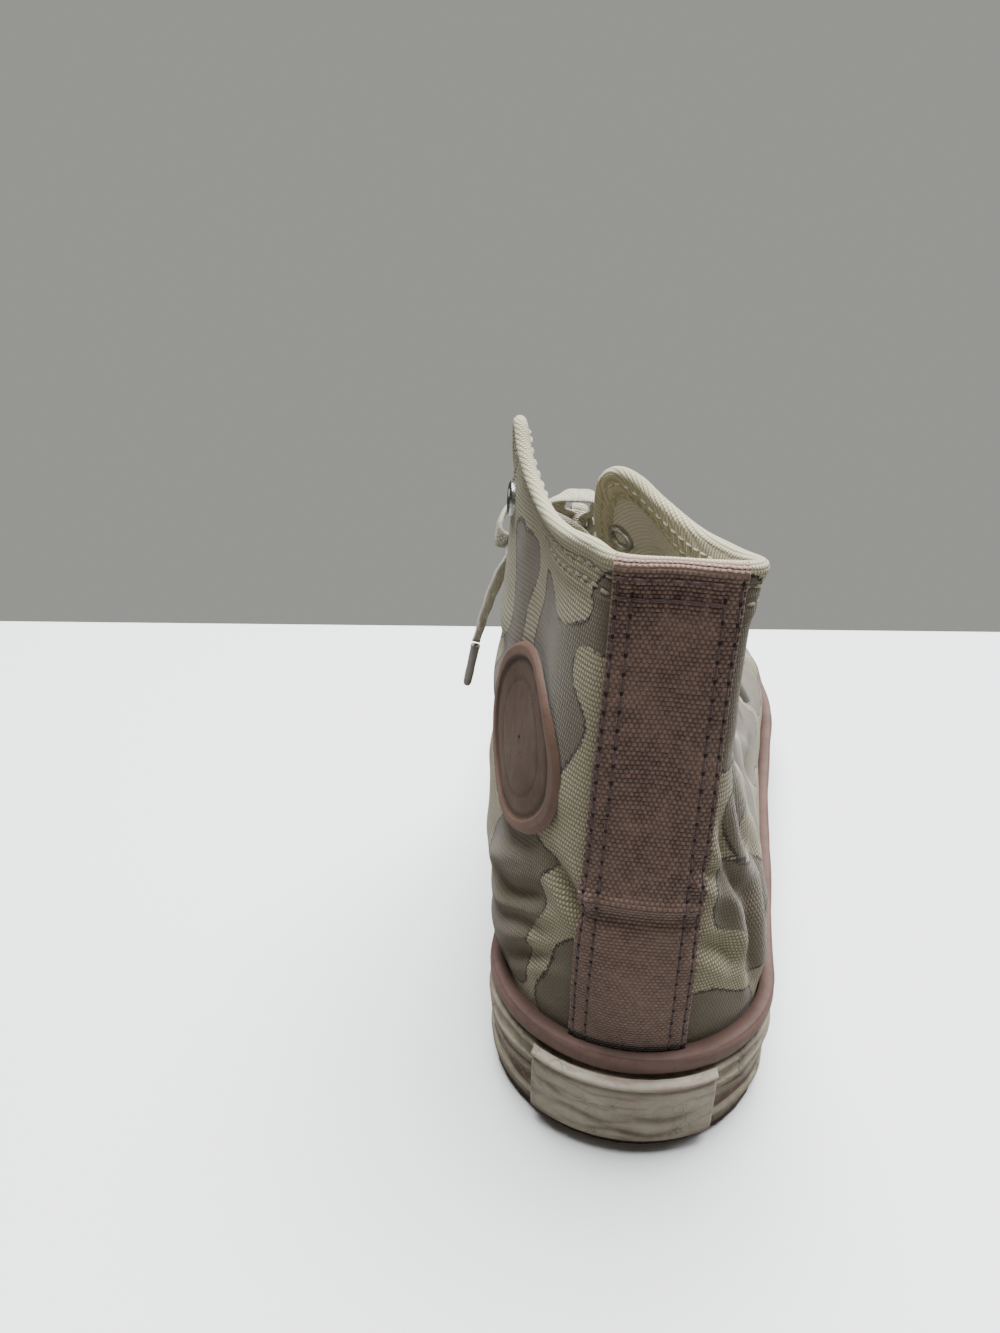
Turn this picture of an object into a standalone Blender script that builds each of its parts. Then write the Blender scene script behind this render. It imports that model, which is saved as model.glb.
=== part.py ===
# A worn high-top canvas sneaker for the right foot, standing empty on its rubber sole.
# Metres, +Z up, toe along +Y, little-toe side along +X. The origin lies on the floor under the heel seat.

import math
from functools import lru_cache

import bmesh
import bpy
import numpy as np
from mathutils import Matrix, Vector
from mathutils.bvhtree import BVHTree

# Overall sizes
LENGTH = 0.266
BALL_WIDTH = 0.099
HEEL_WIDTH = 0.0745
BACK_HEIGHT = 0.155
HEEL_SETBACK = 0.036

# Sole sizes
HEEL_ROUND = 0.036
TOE_ROUND = 0.056
MIDLINE_SWING = 0.006
TOE_SPRING = 0.007
SPRING_START = 0.72
TREAD_THICKNESS = 0.003
TREAD_INSET = 0.0008
SOLE_TOP = 0.012
FOXING_THICKNESS = 0.0036
FOXING_HEIGHT_HEEL = 0.032
FOXING_HEIGHT_BALL = 0.028
FOXING_HEIGHT_TOE = 0.031
TOE_GUARD = 0.0012
PIPING_HEIGHT = 0.0052
PIPING_PROUD = 0.0011
INSOLE_THICKNESS = 0.003

# Upper sizes
WALL = 0.0019
HEM_WIDTH = 0.011
HEM_STEP = 0.0004
STRIP_THICKNESS = 0.0011
CAP_THICKNESS = 0.0014
CAP_LENGTH = 0.060
CAP_ARCH = 7.6
PATCH_RADIUS = 0.0227
PATCH_THICKNESS = 0.0012
PATCH_GAP = 0.00045
PATCH_RIM = 0.0032
PATCH_RIM_STEP = 0.0005
LABEL_WIDTH = 0.044
LABEL_THICKNESS = 0.0011

# Lacing sizes
EYELETS = 8
LACED_PAIRS = 7
EYELET_EDGE = 0.0085
EYELET_FLANGE = 0.0043
EYELET_BARREL = 0.0028
EYELET_BORE = 0.0022
EYELET_LIP = 0.0006
LACE_WIDTH = 0.0075
LACE_THICKNESS = 0.0013
CORD_RADIUS = 0.0017
AGLET_RADIUS = 0.0014
LACE_CLEAR = 0.0011
EDGE_LEAD = 0.3
END_TUCK = 0.22
END_SINK = 0.0006
EDGE_CLEAR = 0.12
EDGE_SLACK = 0.25
SINK_SLACK = 0.003
TONGUE_THICKNESS = 0.0022
TONGUE_DEPTH = 0.0076
TONGUE_SAG = 0.008
TONGUE_TUCK = 0.9
TONGUE_SEAM_TUCK = 0.35

# Fits
GAP = 0.0003
SKIN_GAP = 0.0005
CAP_GAP = 0.0009
INSOLE_GAP = 0.0006
FLANGE_GAP = 0.0005

# Mesh fineness
RING_STEPS = 88
RIB_ROWS = 13

COLOURS = {
    "canvas": ((0.60, 0.57, 0.49), 0.92, 0.0),
    "strip_canvas": ((0.27, 0.19, 0.19), 0.92, 0.0),
    "cream_rubber": ((0.55, 0.51, 0.44), 0.55, 0.0),
    "mauve_rubber": ((0.33, 0.21, 0.20), 0.5, 0.0),
    "brown_rubber": ((0.16, 0.12, 0.10), 0.7, 0.0),
    "patch_rubber": ((0.24, 0.16, 0.14), 0.6, 0.0),
    "lining": ((0.58, 0.54, 0.45), 0.95, 0.0),
    "lace_cotton": ((0.62, 0.60, 0.52), 0.95, 0.0),
    "metal": ((0.55, 0.56, 0.57), 0.35, 1.0),
}

# Plan of the sole: along the length in percent, then half widths in percent of the heel's width and of
# the ball's width, first for the inner side and then for the outer side.
PLAN = (
    (0, 50, 0, 50, 0),
    (16, 50, 0, 51, 0),
    (30, 42, 6, 44, 8),
    (44, 28, 16, 26, 24),
    (58, 10, 37, 6, 43),
    (70, 0, 49, 0, 51),
    (84, 0, 48, 0, 48),
    (100, 0, 44, 0, 44),
)

# Ribs of the upper, from the back seam (0) forward to the toe (1). Each has the place on the top line, as
# percent of heel width, length and back height, then the swell and lift of its foot, then the lead of its
# top, in the same percents.
OUTER_RIBS = (
    (0.000, (2.1, 2.0, 100.3), (1.0, 19), (0.0, -0.2, -22)),
    (0.057, (18.2, 1.9, 100.5), (1.0, 19), (-1.5, -0.2, -22)),
    (0.095, (22.8, 3.6, 100.0), (2.0, 19), (-6.0, -0.2, -22)),
    (0.135, (17.5, 7.6, 98.7), (5.0, 17), (-4.0, 0.0, -21)),
    (0.180, (8.0, 12.8, 98.0), (8.0, 16), (3.0, 0.0, -20)),
    (0.225, (-2.5, 17.0, 99.6), (8.0, 16), (12.0, 0.0, -18)),
    (0.260, (-10.0, 19.6, 101.3), (7.0, 16), (17.0, -0.4, -17)),
    (0.290, (-16.5, 21.6, 101.3), (6.0, 16), (21.0, -1.0, -16)),
    (0.315, (-21.0, 23.4, 98.5), (4.5, 17), (26.0, -1.6, -15)),
    (0.345, (-21.5, 26.2, 91.0), (3.0, 17), (32.0, -2.2, -13)),
    (0.400, (-17.5, 32.5, 78.0), (3.0, 16), (35.0, -2.6, -10)),
    (0.460, (-11.0, 40.5, 66.0), (2.5, 15), (37.0, -2.4, -8)),
    (0.525, (-4.0, 49.5, 55.5), (2.0, 14), (38.0, -1.4, -5)),
    (0.600, (2.5, 58.0, 47.5), (1.5, 12), (36.0, 1.0, -3)),
    (0.700, (4.0, 64.0, 43.0), (1.0, 12), (29.0, 5.0, -3)),
    (0.800, (3.0, 66.3, 41.6), (0.5, 12), (19.0, 10.0, -4)),
    (0.900, (0.5, 67.2, 41.1), (0.0, 12), (9.0, 13.0, -4)),
    (1.000, (-2.0, 67.4, 41.0), (0.0, 12), (0.0, 13.6, -4)),
)
INNER_RIBS = (
    (0.057, (-13.7, 1.9, 100.5), (1.0, 19), (-1.0, -0.2, -22)),
    (0.095, (-20.5, 3.8, 101.0), (0.0, 19), (-2.0, -0.2, -22)),
    (0.135, (-28.5, 7.2, 100.2), (4.0, 16), (3.0, -0.2, -21)),
    (0.180, (-35.5, 11.6, 100.2), (15.0, 11), (12.0, 0.0, -20)),
    (0.225, (-41.5, 15.6, 102.4), (23.0, 9), (16.0, 0.0, -20)),
    (0.260, (-45.5, 18.2, 105.5), (28.0, 9), (11.0, 0.0, -20)),
    (0.290, (-47.5, 20.2, 108.0), (30.0, 9), (8.0, -0.4, -20)),
    (0.315, (-49.0, 22.4, 107.0), (29.0, 10), (4.0, -1.0, -19)),
    (0.345, (-50.0, 25.6, 99.5), (25.0, 12), (-2.0, -2.0, -16)),
    (0.400, (-47.0, 32.5, 84.0), (17.0, 14), (-11.0, -2.6, -12)),
    (0.460, (-39.0, 40.5, 69.5), (8.0, 15), (-20.0, -2.4, -9)),
    (0.525, (-28.5, 49.5, 57.5), (5.0, 14), (-25.0, -1.4, -6)),
    (0.600, (-18.5, 58.0, 48.5), (3.0, 12), (-29.0, 1.0, -3)),
    (0.700, (-12.0, 64.0, 43.3), (1.0, 12), (-26.0, 5.0, -3)),
    (0.800, (-8.5, 66.3, 41.7), (0.5, 12), (-18.0, 10.0, -4)),
    (0.900, (-5.0, 67.2, 41.1), (0.0, 12), (-9.0, 13.0, -4)),
)

# Where each thing sits on the ribs: place round the shoe and share of the rib's height.
STRIP_EDGE = 0.057
VAMP_POINT = 1.000
THROAT_RUN = (0.67, 0.328)
PATCH_PLACE = (1.808, 0.574)
CAP_REACH = 0.27
CAP_FOOT = 0.008
CAP_CORNER = 0.05
TONGUE_ROWS = (0.0, 0.11, 0.22, 0.33, 0.44, 0.55, 0.66)


# The bow, in metres: its knot, then the routes of the free lace.
KNOT_CENTRE = (-0.0250, 0.0642, 0.1262)
KNOT_RADII = (0.0060, 0.0045, 0.0050)
LACE_ROUTES = {
    "lace_run_inner": (
        (-0.0428, 0.0398, 0.1324),
        (-0.0430, 0.0470, 0.1355),
        (-0.0405, 0.0555, 0.1365),
        (-0.0360, 0.0610, 0.1340),
        (-0.0306, 0.0635, 0.1289),
    ),
    "lace_run_outer": (
        (-0.0049, 0.0421, 0.1276),
        (-0.0060, 0.0500, 0.1305),
        (-0.0100, 0.0575, 0.1310),
        (-0.0150, 0.0625, 0.1295),
        (-0.0188, 0.0635, 0.1277),
    ),
    "bow_loop_back": (
        (-0.0270, 0.0630, 0.1315),
        (-0.0305, 0.0610, 0.1345),
        (-0.0305, 0.0585, 0.1370),
        (-0.0260, 0.0570, 0.1390),
        (-0.0200, 0.0572, 0.1388),
        (-0.0165, 0.0595, 0.1365),
        (-0.0180, 0.0620, 0.1335),
        (-0.0210, 0.0632, 0.1315),
    ),
    "bow_loop_front": (
        (-0.0270, 0.0687, 0.1240),
        (-0.0285, 0.0745, 0.1220),
        (-0.0295, 0.0800, 0.1175),
        (-0.0270, 0.0845, 0.1115),
        (-0.0220, 0.0840, 0.1085),
        (-0.0185, 0.0795, 0.1120),
        (-0.0195, 0.0745, 0.1180),
        (-0.0220, 0.0687, 0.1235),
    ),
    "lace_end_inner": (
        (-0.0305, 0.0673, 0.1243),
        (-0.0360, 0.0690, 0.1220),
        (-0.0420, 0.0670, 0.1175),
        (-0.0460, 0.0625, 0.1115),
        (-0.0485, 0.0575, 0.1050),
        (-0.0500, 0.0540, 0.0995),
        (-0.0510, 0.0515, 0.0950),
    ),
    "lace_end_outer": (
        (-0.0194, 0.0654, 0.1239),
        (-0.0135, 0.0685, 0.1200),
        (-0.0065, 0.0705, 0.1145),
        (0.0010, 0.0710, 0.1075),
        (0.0085, 0.0700, 0.1005),
        (0.0145, 0.0695, 0.0935),
        (0.0200, 0.0705, 0.0870),
        (0.0240, 0.0715, 0.0820),
    ),
}
AGLET_ROUTES = {
    "aglet_inner": ((-0.0511, 0.0512, 0.0944), (-0.0534, 0.0489, 0.0820)),
    "aglet_outer": ((0.0244, 0.0717, 0.0814), (0.0310, 0.0750, 0.0695)),
}


def hermite(table, at, period=None):
    """Smooth curve through the rows (key, value, value ...), read at one key."""
    keys = [row[0] for row in table]
    rows = np.array([row[1:] for row in table], float)
    count = len(keys)
    if period is not None:
        at = at % period
        k = sum(key <= at for key in keys) - 1
        order = [(k - 1) % count, k, (k + 1) % count, (k + 2) % count]
        places = [keys[order[0]], keys[k], keys[order[2]], keys[order[3]]]
        places[0] -= period * (places[0] > places[1])
        places[2] += period * (places[2] < places[1])
        places[3] += period * (places[3] < places[2])
        places[3] += period * (places[3] < places[2])
    else:
        at = min(max(at, keys[0]), keys[-1])
        k = min(sum(key <= at for key in keys) - 1, count - 2)
        order = [max(k - 1, 0), k, k + 1, min(k + 2, count - 1)]
        places = [keys[i] for i in order]
    before, low, high, after = (rows[i] for i in order)
    span = places[2] - places[1]
    share = (at - places[1]) / span
    reach_low = max(places[2] - places[0], 1e-9)
    reach_high = max(places[3] - places[1], 1e-9)
    slope_low = (high - before) / reach_low * span
    slope_high = (after - low) / reach_high * span
    cube, square = share**3, share**2
    return (
        (2 * cube - 3 * square + 1) * low
        + (cube - 2 * square + share) * slope_low
        + (3 * square - 2 * cube) * high
        + (cube - square) * slope_high
    )


def side_and_reach(s):
    """Side of the shoe (+1 outer, -1 inner) and the place from heel (0) to toe (1) for a place s round it."""
    s = s % 2.0
    return (1, s) if s <= 1.0 else (-1, 2.0 - s)


def plan_point(s, inset):
    """Point of the sole's outline, moved inwards by inset: across, from the back, and share of the length."""
    side, reach = side_and_reach(s)
    heel, toe = HEEL_ROUND - inset, TOE_ROUND - inset
    heel_end, toe_start = 0.22, 0.68
    if reach < heel_end:
        turn = reach / heel_end * math.pi / 2
        along = inset + heel * (1 - math.cos(turn))
        end = math.sin(turn)
    elif reach > toe_start:
        turn = (1 - reach) / (1 - toe_start) * math.pi / 2
        along = LENGTH - inset - toe * (1 - math.cos(turn))
        end = math.sin(turn)
    else:
        share = (reach - heel_end) / (toe_start - heel_end)
        along = HEEL_ROUND + share * (LENGTH - TOE_ROUND - HEEL_ROUND)
        end = 1.0
    widths = hermite(PLAN, along / LENGTH * 100) / 100
    heel_share, ball_share = widths[:2] if side < 0 else widths[2:]
    half = (heel_share * HEEL_WIDTH + ball_share * BALL_WIDTH - inset) * end
    middle = -MIDLINE_SWING * max(0.0, along / LENGTH - 0.5) ** 2 * 4
    return middle + side * half, along, along / LENGTH


def spring(share):
    """Rise of the sole's underside at a share of the length."""
    run = max(0.0, (share - SPRING_START) / (1 - SPRING_START))
    return TOE_SPRING * run**2


def foxing_top(share):
    """Height of the foxing's top edge over the floor."""
    table = (
        (0.0, FOXING_HEIGHT_HEEL),
        (0.2, FOXING_HEIGHT_HEEL - 0.001),
        (0.45, FOXING_HEIGHT_BALL),
        (0.75, FOXING_HEIGHT_BALL),
        (1.0, FOXING_HEIGHT_TOE),
    )
    return float(hermite(table, share)[0]) + spring(share)


def at(across, along, height):
    """World point from the distance across, the distance from the back of the sole, and the height."""
    return Vector((across, along - HEEL_SETBACK, height))


def plan_loop(inset, height, steps=RING_STEPS):
    """Closed loop round the sole: height is a function of the share of the length."""
    loop = []
    for k in range(steps):
        across, along, share = plan_point(2.0 * k / steps, inset)
        loop.append(at(across, along, height(share)))
    return loop


RIB_TABLE = sorted(
    [(key, *top, *foot, *lead) for key, top, foot, lead in OUTER_RIBS]
    + [(2.0 - key, *top, *foot, *lead) for key, top, foot, lead in INNER_RIBS]
)


def rib(s):
    """The four control points of the rib at place s: foot, foot's lead, top's lead and top."""
    values = hermite(RIB_TABLE, s, period=2.0) / 100
    scale = (HEEL_WIDTH, LENGTH, BACK_HEIGHT)
    top = at(*(value * size for value, size in zip(values[0:3], scale)))
    lead = Vector([value * size for value, size in zip(values[5:8], scale)])
    across, along, share = plan_point(s, FOXING_THICKNESS + SKIN_GAP)
    foot = at(across, along, foxing_top(share))
    ahead, behind = (plan_point(s + step, FOXING_THICKNESS) for step in (0.004, -0.004))
    tangent = Vector((ahead[0] - behind[0], ahead[1] - behind[1], 0)).normalized()
    outward = Vector((tangent.y, -tangent.x, 0))
    foot_lead = foot + outward * values[3] * HEEL_WIDTH + Vector((0, 0, values[4] * BACK_HEIGHT))
    return foot, foot_lead, top + lead, top


def rib_point(s, t):
    """Point of the upper's outer face at place s and share t of the rib's height."""
    a, b, c, d = rib(s)
    return a * (1 - t) ** 3 + b * 3 * t * (1 - t) ** 2 + c * 3 * t * t * (1 - t) + d * t**3


def skin(s, t, offset=0.0):
    """Point off the upper's outer face by offset, outwards when positive."""
    low, high = max(0.0, t - 0.02), min(1.0, t + 0.02)
    up = rib_point(s, high) - rib_point(s, low)
    round_it = rib_point(s + 0.004, t) - rib_point(s - 0.004, t)
    return rib_point(s, t) + round_it.cross(up).normalized() * offset


def rib_length(s):
    """Length of the rib at place s, from the foxing to the top line."""
    points = [rib_point(s, k / 10) for k in range(11)]
    return sum((b - a).length for a, b in zip(points, points[1:]))


def material(name):
    """Principled material with the colour, roughness and metallic value of its part."""
    made = bpy.data.materials.get(name)
    if made is None:
        colour, roughness, metallic = COLOURS[name]
        made = bpy.data.materials.new(name)
        made.use_nodes = True
        shader = made.node_tree.nodes["Principled BSDF"]
        shader.inputs["Base Color"].default_value = (*colour, 1.0)
        shader.inputs["Roughness"].default_value = roughness
        shader.inputs["Metallic"].default_value = metallic
    return made


def add_object(name, mesh, finish):
    """Links a mesh as a part of the shoe with its material."""
    obj = bpy.data.objects.new(name, mesh)
    mesh.materials.append(material(finish))
    SHOE.objects.link(obj)
    return obj


def mesh_from(name, points, faces, finish, smooth=True):
    """Closed mesh object from points and faces, with its normals turned outwards."""
    mesh = bpy.data.meshes.new(name)
    mesh.from_pydata(points, [], faces)
    work = bmesh.new()
    work.from_mesh(mesh)
    bmesh.ops.recalc_face_normals(work, faces=work.faces)
    work.to_mesh(mesh)
    work.free()
    if smooth:
        mesh.shade_smooth()
        mesh.set_sharp_from_angle(angle=math.radians(40))
    return add_object(name, mesh, finish)


def ring_loft(name, loops, finish):
    """Closed ring through loops of equal count, the last joined to the first."""
    count = len(loops[0])
    points = [point for loop in loops for point in loop]
    faces = []
    for i in range(len(loops)):
        j = (i + 1) % len(loops)
        for k in range(count):
            m = (k + 1) % count
            faces.append((i * count + k, i * count + m, j * count + m, j * count + k))
    return mesh_from(name, points, faces, finish)


def slab_loft(name, loops, finish):
    """Closed slab through loops of equal count, with its first and last loops filled."""
    count = len(loops[0])
    points = [point for loop in loops for point in loop]
    faces = []
    for i in range(len(loops) - 1):
        for k in range(count):
            m = (k + 1) % count
            faces.append((i * count + k, i * count + m, (i + 1) * count + m, (i + 1) * count + k))
    for i in (0, len(loops) - 1):
        for k in range(count // 2 - 1):
            near, far = k, count - 1 - k
            corners = [i * count + near, i * count + near + 1, i * count + far - 1, i * count + far]
            faces.append(corners)
    return mesh_from(name, points, faces, finish)


def sheet_loft(name, outer, inner, finish):
    """Closed sheet between two grids of points of equal size."""
    rows, columns = len(outer), len(outer[0])
    points = [point for row in outer for point in row] + [point for row in inner for point in row]
    shift = rows * columns
    faces = []
    for i in range(rows - 1):
        for k in range(columns - 1):
            quad = (i * columns + k, i * columns + k + 1, (i + 1) * columns + k + 1, (i + 1) * columns + k)
            faces.append(quad)
            faces.append(tuple(shift + corner for corner in reversed(quad)))
    edge = [(0, k) for k in range(columns)]
    edge += [(i, columns - 1) for i in range(1, rows)]
    edge += [(rows - 1, k) for k in range(columns - 2, -1, -1)]
    edge += [(i, 0) for i in range(rows - 2, 0, -1)]
    for (i, k), (j, m) in zip(edge, edge[1:] + edge[:1]):
        a, b = i * columns + k, j * columns + m
        faces.append((a, b, shift + b, shift + a))
    return mesh_from(name, points, faces, finish)


def build_outsole():
    """Tread layer out to the edge, and the body of the sole inside the foxing."""
    body = FOXING_THICKNESS + GAP
    steps = (
        (TREAD_INSET + 0.0006, 0.0),
        (TREAD_INSET, 0.0008),
        (TREAD_INSET, TREAD_THICKNESS),
        (body, TREAD_THICKNESS),
        (body, SOLE_TOP),
    )
    loops = [plan_loop(inset, lambda share, z=z: z + spring(share)) for inset, z in steps]
    return slab_loft("outsole", loops, "brown_rubber")


def foxing_outset(share):
    """How far the foxing stands out at the toe, where a guard strip doubles it."""
    run = min(1.0, max(0.0, (share - 0.76) / 0.06))
    return TOE_GUARD * run * run * (3 - 2 * run)


def foxing_steps():
    """Outer side of the foxing from its foot up: share of its height and how far it stands out."""
    return (
        (0.00, -0.0006),
        (0.03, 0.0),
        (0.20, 0.0),
        (0.215, -0.0005),
        (0.40, -0.0005),
        (0.415, 0.0),
        (0.66, 0.0),
        (0.69, 0.0005),
        (0.72, 0.0),
        (0.98, -0.0003),
        (1.00, -0.0008),
    )


def band_top(share):
    """Height of the foxing's edge under its piping."""
    return foxing_top(share) - PIPING_HEIGHT - GAP


def build_foxing():
    """Rubber band round the sole, with a sunk stripe, a fine rib and a doubled toe."""
    foot = TREAD_THICKNESS + GAP
    loops = []
    for share_up, outset in foxing_steps():
        loop = []
        for k in range(RING_STEPS):
            s = 2.0 * k / RING_STEPS
            share = plan_point(s, 0.0)[2]
            across, along, _ = plan_point(s, -outset - foxing_outset(share))
            low = foot + spring(share)
            loop.append(at(across, along, low + share_up * (band_top(share) - low)))
        loops.append(loop)
    loops.append(plan_loop(FOXING_THICKNESS, band_top))
    loops.append(plan_loop(FOXING_THICKNESS, lambda share: foot + spring(share)))
    return ring_loft("foxing_band", loops, "cream_rubber")


def build_piping():
    """Round-faced rubber bead along the top of the foxing."""
    profile = []
    arc_steps = 6
    for k in range(arc_steps + 1):
        turn = math.pi * k / arc_steps
        profile.append((PIPING_PROUD * math.sin(turn) - 0.0007, 0.5 - 0.5 * math.cos(turn)))
    loops = []
    for outset, share_up in profile:
        loop = []
        for k in range(RING_STEPS):
            s = 2.0 * k / RING_STEPS
            share = plan_point(s, 0.0)[2]
            across, along, _ = plan_point(s, -outset - foxing_outset(share))
            loop.append(at(across, along, foxing_top(share) - PIPING_HEIGHT * (1 - share_up)))
        loops.append(loop)
    loops.append(plan_loop(FOXING_THICKNESS, foxing_top))
    loops.append(plan_loop(FOXING_THICKNESS, lambda share: foxing_top(share) - PIPING_HEIGHT))
    return ring_loft("foxing_piping", loops, "mauve_rubber")


def build_heel_label():
    """Raised rubber plate at the back of the foxing, with a rib along its top."""
    half = LABEL_WIDTH / 2 / (HEEL_WIDTH / 2)
    turn = math.asin(min(0.95, half))
    reach = turn / (math.pi / 2) * 0.22
    rows = ((0.06, 0.0), (0.10, 1.0), (0.50, 1.15), (0.84, 1.0), (0.88, 1.5), (0.93, 1.5), (0.96, 1.0), (0.99, 0.3))
    columns = 16
    grids = ([], [])
    for share_up, thick in rows:
        outer, inner = [], []
        for k in range(columns + 1):
            s = (reach * (2 * k / columns - 1)) % 2.0
            low = TREAD_THICKNESS + GAP
            high = FOXING_HEIGHT_HEEL - PIPING_HEIGHT - GAP
            height = low + share_up * (high - low)
            rise = 0.0005 + GAP
            for row, outset in ((outer, rise + LABEL_THICKNESS * max(thick, 0.25)), (inner, rise)):
                across, along, _ = plan_point(s, -outset)
                row.append(at(across, along, height))
        grids[0].append(outer)
        grids[1].append(inner)
    return sheet_loft("heel_label", grids[0], grids[1], "cream_rubber")


def hem_offset(s, t):
    """Step of the turned hem under the top line."""
    return HEM_STEP if (1 - t) * rib_length(s) < HEM_WIDTH else 0.0


def rib_rows():
    """Shares of a rib's height for the rows of the upper, closer at its ends."""
    rows = [0.5 - 0.5 * math.cos(math.pi * k / RIB_ROWS) for k in range(RIB_ROWS + 1)]
    return [0.6 * row + 0.4 * k / RIB_ROWS for k, row in enumerate(rows)]


def rib_places():
    """Places round the shoe for the ribs of the mesh, close at the heel's strip and the flaps' tips."""
    half = [key for key, *_ in OUTER_RIBS]
    places = []
    for low, high in zip(half, half[1:]):
        parts = max(1, round((high - low) / 0.028))
        places += [low + (high - low) * k / parts for k in range(parts)]
    return places + [1.0] + [2.0 - place for place in reversed(places) if place > 0]


def build_upper():
    """Canvas upper: one wall between an outer and an inner face, open at the collar, throat and underneath."""
    places = rib_places()
    rows = rib_rows()
    feet = []
    for inset in (FOXING_THICKNESS + SKIN_GAP, FOXING_THICKNESS + SKIN_GAP + WALL):
        loop = []
        for s in places:
            across, along, share = plan_point(s, inset)
            loop.append(at(across, along, SOLE_TOP + GAP + spring(share)))
        feet.append(loop)
    outer = [[skin(s, t, hem_offset(s, t)) for s in places] for t in rows]
    inner = [[skin(s, t, -WALL) for s in places] for t in rows]
    inner[0] = [at(*plan_point(s, FOXING_THICKNESS + SKIN_GAP + WALL)[:2], point.z)
                for s, point in zip(places, outer[0])]
    return ring_loft("upper", [feet[0]] + outer + inner[::-1] + [feet[1]], "canvas")


def build_heel_strip():
    """Doubled canvas strip up the back seam, from the piping to the collar."""
    columns, rows = 8, 14
    grids = ([], [])
    for i in range(rows + 1):
        t = 0.012 + (1.0 - 0.012) * i / rows
        for grid, offset in zip(grids, (HEM_STEP + GAP + STRIP_THICKNESS, HEM_STEP + GAP)):
            places = [(STRIP_EDGE * (2 * k / columns - 1)) % 2.0 for k in range(columns + 1)]
            grid.append([skin(s, t, offset) for s in places])
    return sheet_loft("heel_strip", grids[0], grids[1], "strip_canvas")


def cap_edge(s):
    """Share of the rib's height at the toe cap's arched back edge."""
    low, high = 0.0, 1.0
    for _ in range(16):
        middle = (low + high) / 2
        point = rib_point(s, middle)
        if point.y + HEEL_SETBACK > LENGTH - CAP_LENGTH + CAP_ARCH * point.x**2:
            low = middle
        else:
            high = middle
    return max(low, CAP_CORNER)


def build_toe_cap():
    """Rubber cap over the toe, its back edge arched across the vamp."""
    columns, rows = 26, 12
    grids = ([], [])
    places = [VAMP_POINT + CAP_REACH * (2 * k / columns - 1) for k in range(columns + 1)]
    edges = [cap_edge(s) for s in places]
    for i in range(rows + 1):
        for grid, offset in zip(grids, (CAP_GAP + CAP_THICKNESS, CAP_GAP)):
            shares = [CAP_FOOT + (edge - CAP_FOOT) * i / rows for edge in edges]
            grid.append([skin(s, t, offset) for s, t in zip(places, shares)])
    return sheet_loft("toe_cap", grids[0], grids[1], "cream_rubber")


def build_insole():
    """Thin insole lying on the sole inside the upper's wall."""
    inset = FOXING_THICKNESS + SKIN_GAP + WALL + INSOLE_GAP
    low = SOLE_TOP + GAP
    steps = ((inset, low), (inset, low + INSOLE_THICKNESS - 0.0008), (inset + 0.0008, low + INSOLE_THICKNESS))
    loops = [plan_loop(edge, lambda share, z=z: z + spring(share)) for edge, z in steps]
    return slab_loft("insole", loops, "lining")


def surface_tree(obj):
    """Search tree of a mesh object's faces."""
    mesh = obj.data
    return BVHTree.FromPolygons([v.co for v in mesh.vertices], [p.vertices for p in mesh.polygons])


def build_patch(tree):
    """Round rubber patch on the inner ankle, with a raised rim."""
    place, share = PATCH_PLACE
    centre = rib_point(place, share)
    normal = (skin(place, share, 0.01) - centre).normalized()
    up = Vector((0, 0, 1))
    right = up.cross(normal).normalized()
    up = normal.cross(right)
    spokes = 32
    radii = [0.0, 0.25, 0.48, 0.68, 1 - PATCH_RIM / PATCH_RADIUS, 1 - 0.75 * PATCH_RIM / PATCH_RADIUS, 1.0]
    rings = len(radii) - 1
    points = [[], []]
    for face, base in ((0, PATCH_GAP + PATCH_THICKNESS), (1, PATCH_GAP)):
        for ring, share_out in enumerate(radii):
            for k in range(spokes if ring else 1):
                turn = 2 * math.pi * k / spokes
                flat = centre + (right * math.cos(turn) + up * math.sin(turn)) * PATCH_RADIUS * share_out
                hit, face_normal, _, _ = tree.ray_cast(flat + normal * PATCH_RADIUS, -normal)
                if hit is None:
                    hit, face_normal, _, _ = tree.find_nearest(flat)
                lift = base + (PATCH_RIM_STEP if face == 0 and ring >= rings - 1 else 0.0)
                points[face].append(hit + face_normal.lerp(normal, 0.5).normalized() * lift)
    count = len(points[0])
    faces = []
    for face in (0, 1):
        shift = face * count
        for k in range(spokes):
            m = (k + 1) % spokes
            faces.append((shift, shift + 1 + k, shift + 1 + m))
            for ring in range(1, rings):
                a, b = shift + 1 + (ring - 1) * spokes, shift + 1 + ring * spokes
                faces.append((a + k, b + k, b + m, a + m))
    rim = 1 + (rings - 1) * spokes
    for k in range(spokes):
        m = (k + 1) % spokes
        faces.append((rim + k, rim + m, count + rim + m, count + rim + k))
    return mesh_from("ankle_patch", points[0] + points[1], faces, "patch_rubber")


def throat_place(side, share):
    """Place round the shoe along one edge of the throat, from the vamp (0) to the flap's tip (1)."""
    low, high = THROAT_RUN
    reach = low + (high - low) * share
    return reach if side > 0 else 2.0 - reach


def edge_share(s, distance):
    """Share of the rib's height at a distance square to the edge of the throat or collar."""
    along = (rib_point(s + 0.004, 1.0) - rib_point(s - 0.004, 1.0)).normalized()
    low, high = 0.4, 1.0
    for _ in range(18):
        middle = (low + high) / 2
        reach = rib_point(s, 1.0) - rib_point(s, middle)
        if (reach - along * reach.dot(along)).length > distance:
            low = middle
        else:
            high = middle
    return low


@lru_cache(maxsize=None)
def throat_run(side):
    """Places, eyelet points and their running length along one side of the throat, from the vamp up."""
    places = [throat_place(side, k / 60) for k in range(-6, 61)]
    points = [skin(s, edge_share(s, EYELET_EDGE)) for s in places]
    lengths = [0.0]
    for a, b in zip(points, points[1:]):
        lengths.append(lengths[-1] + (b - a).length)
    return places, [length - lengths[6] for length in lengths]


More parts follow.
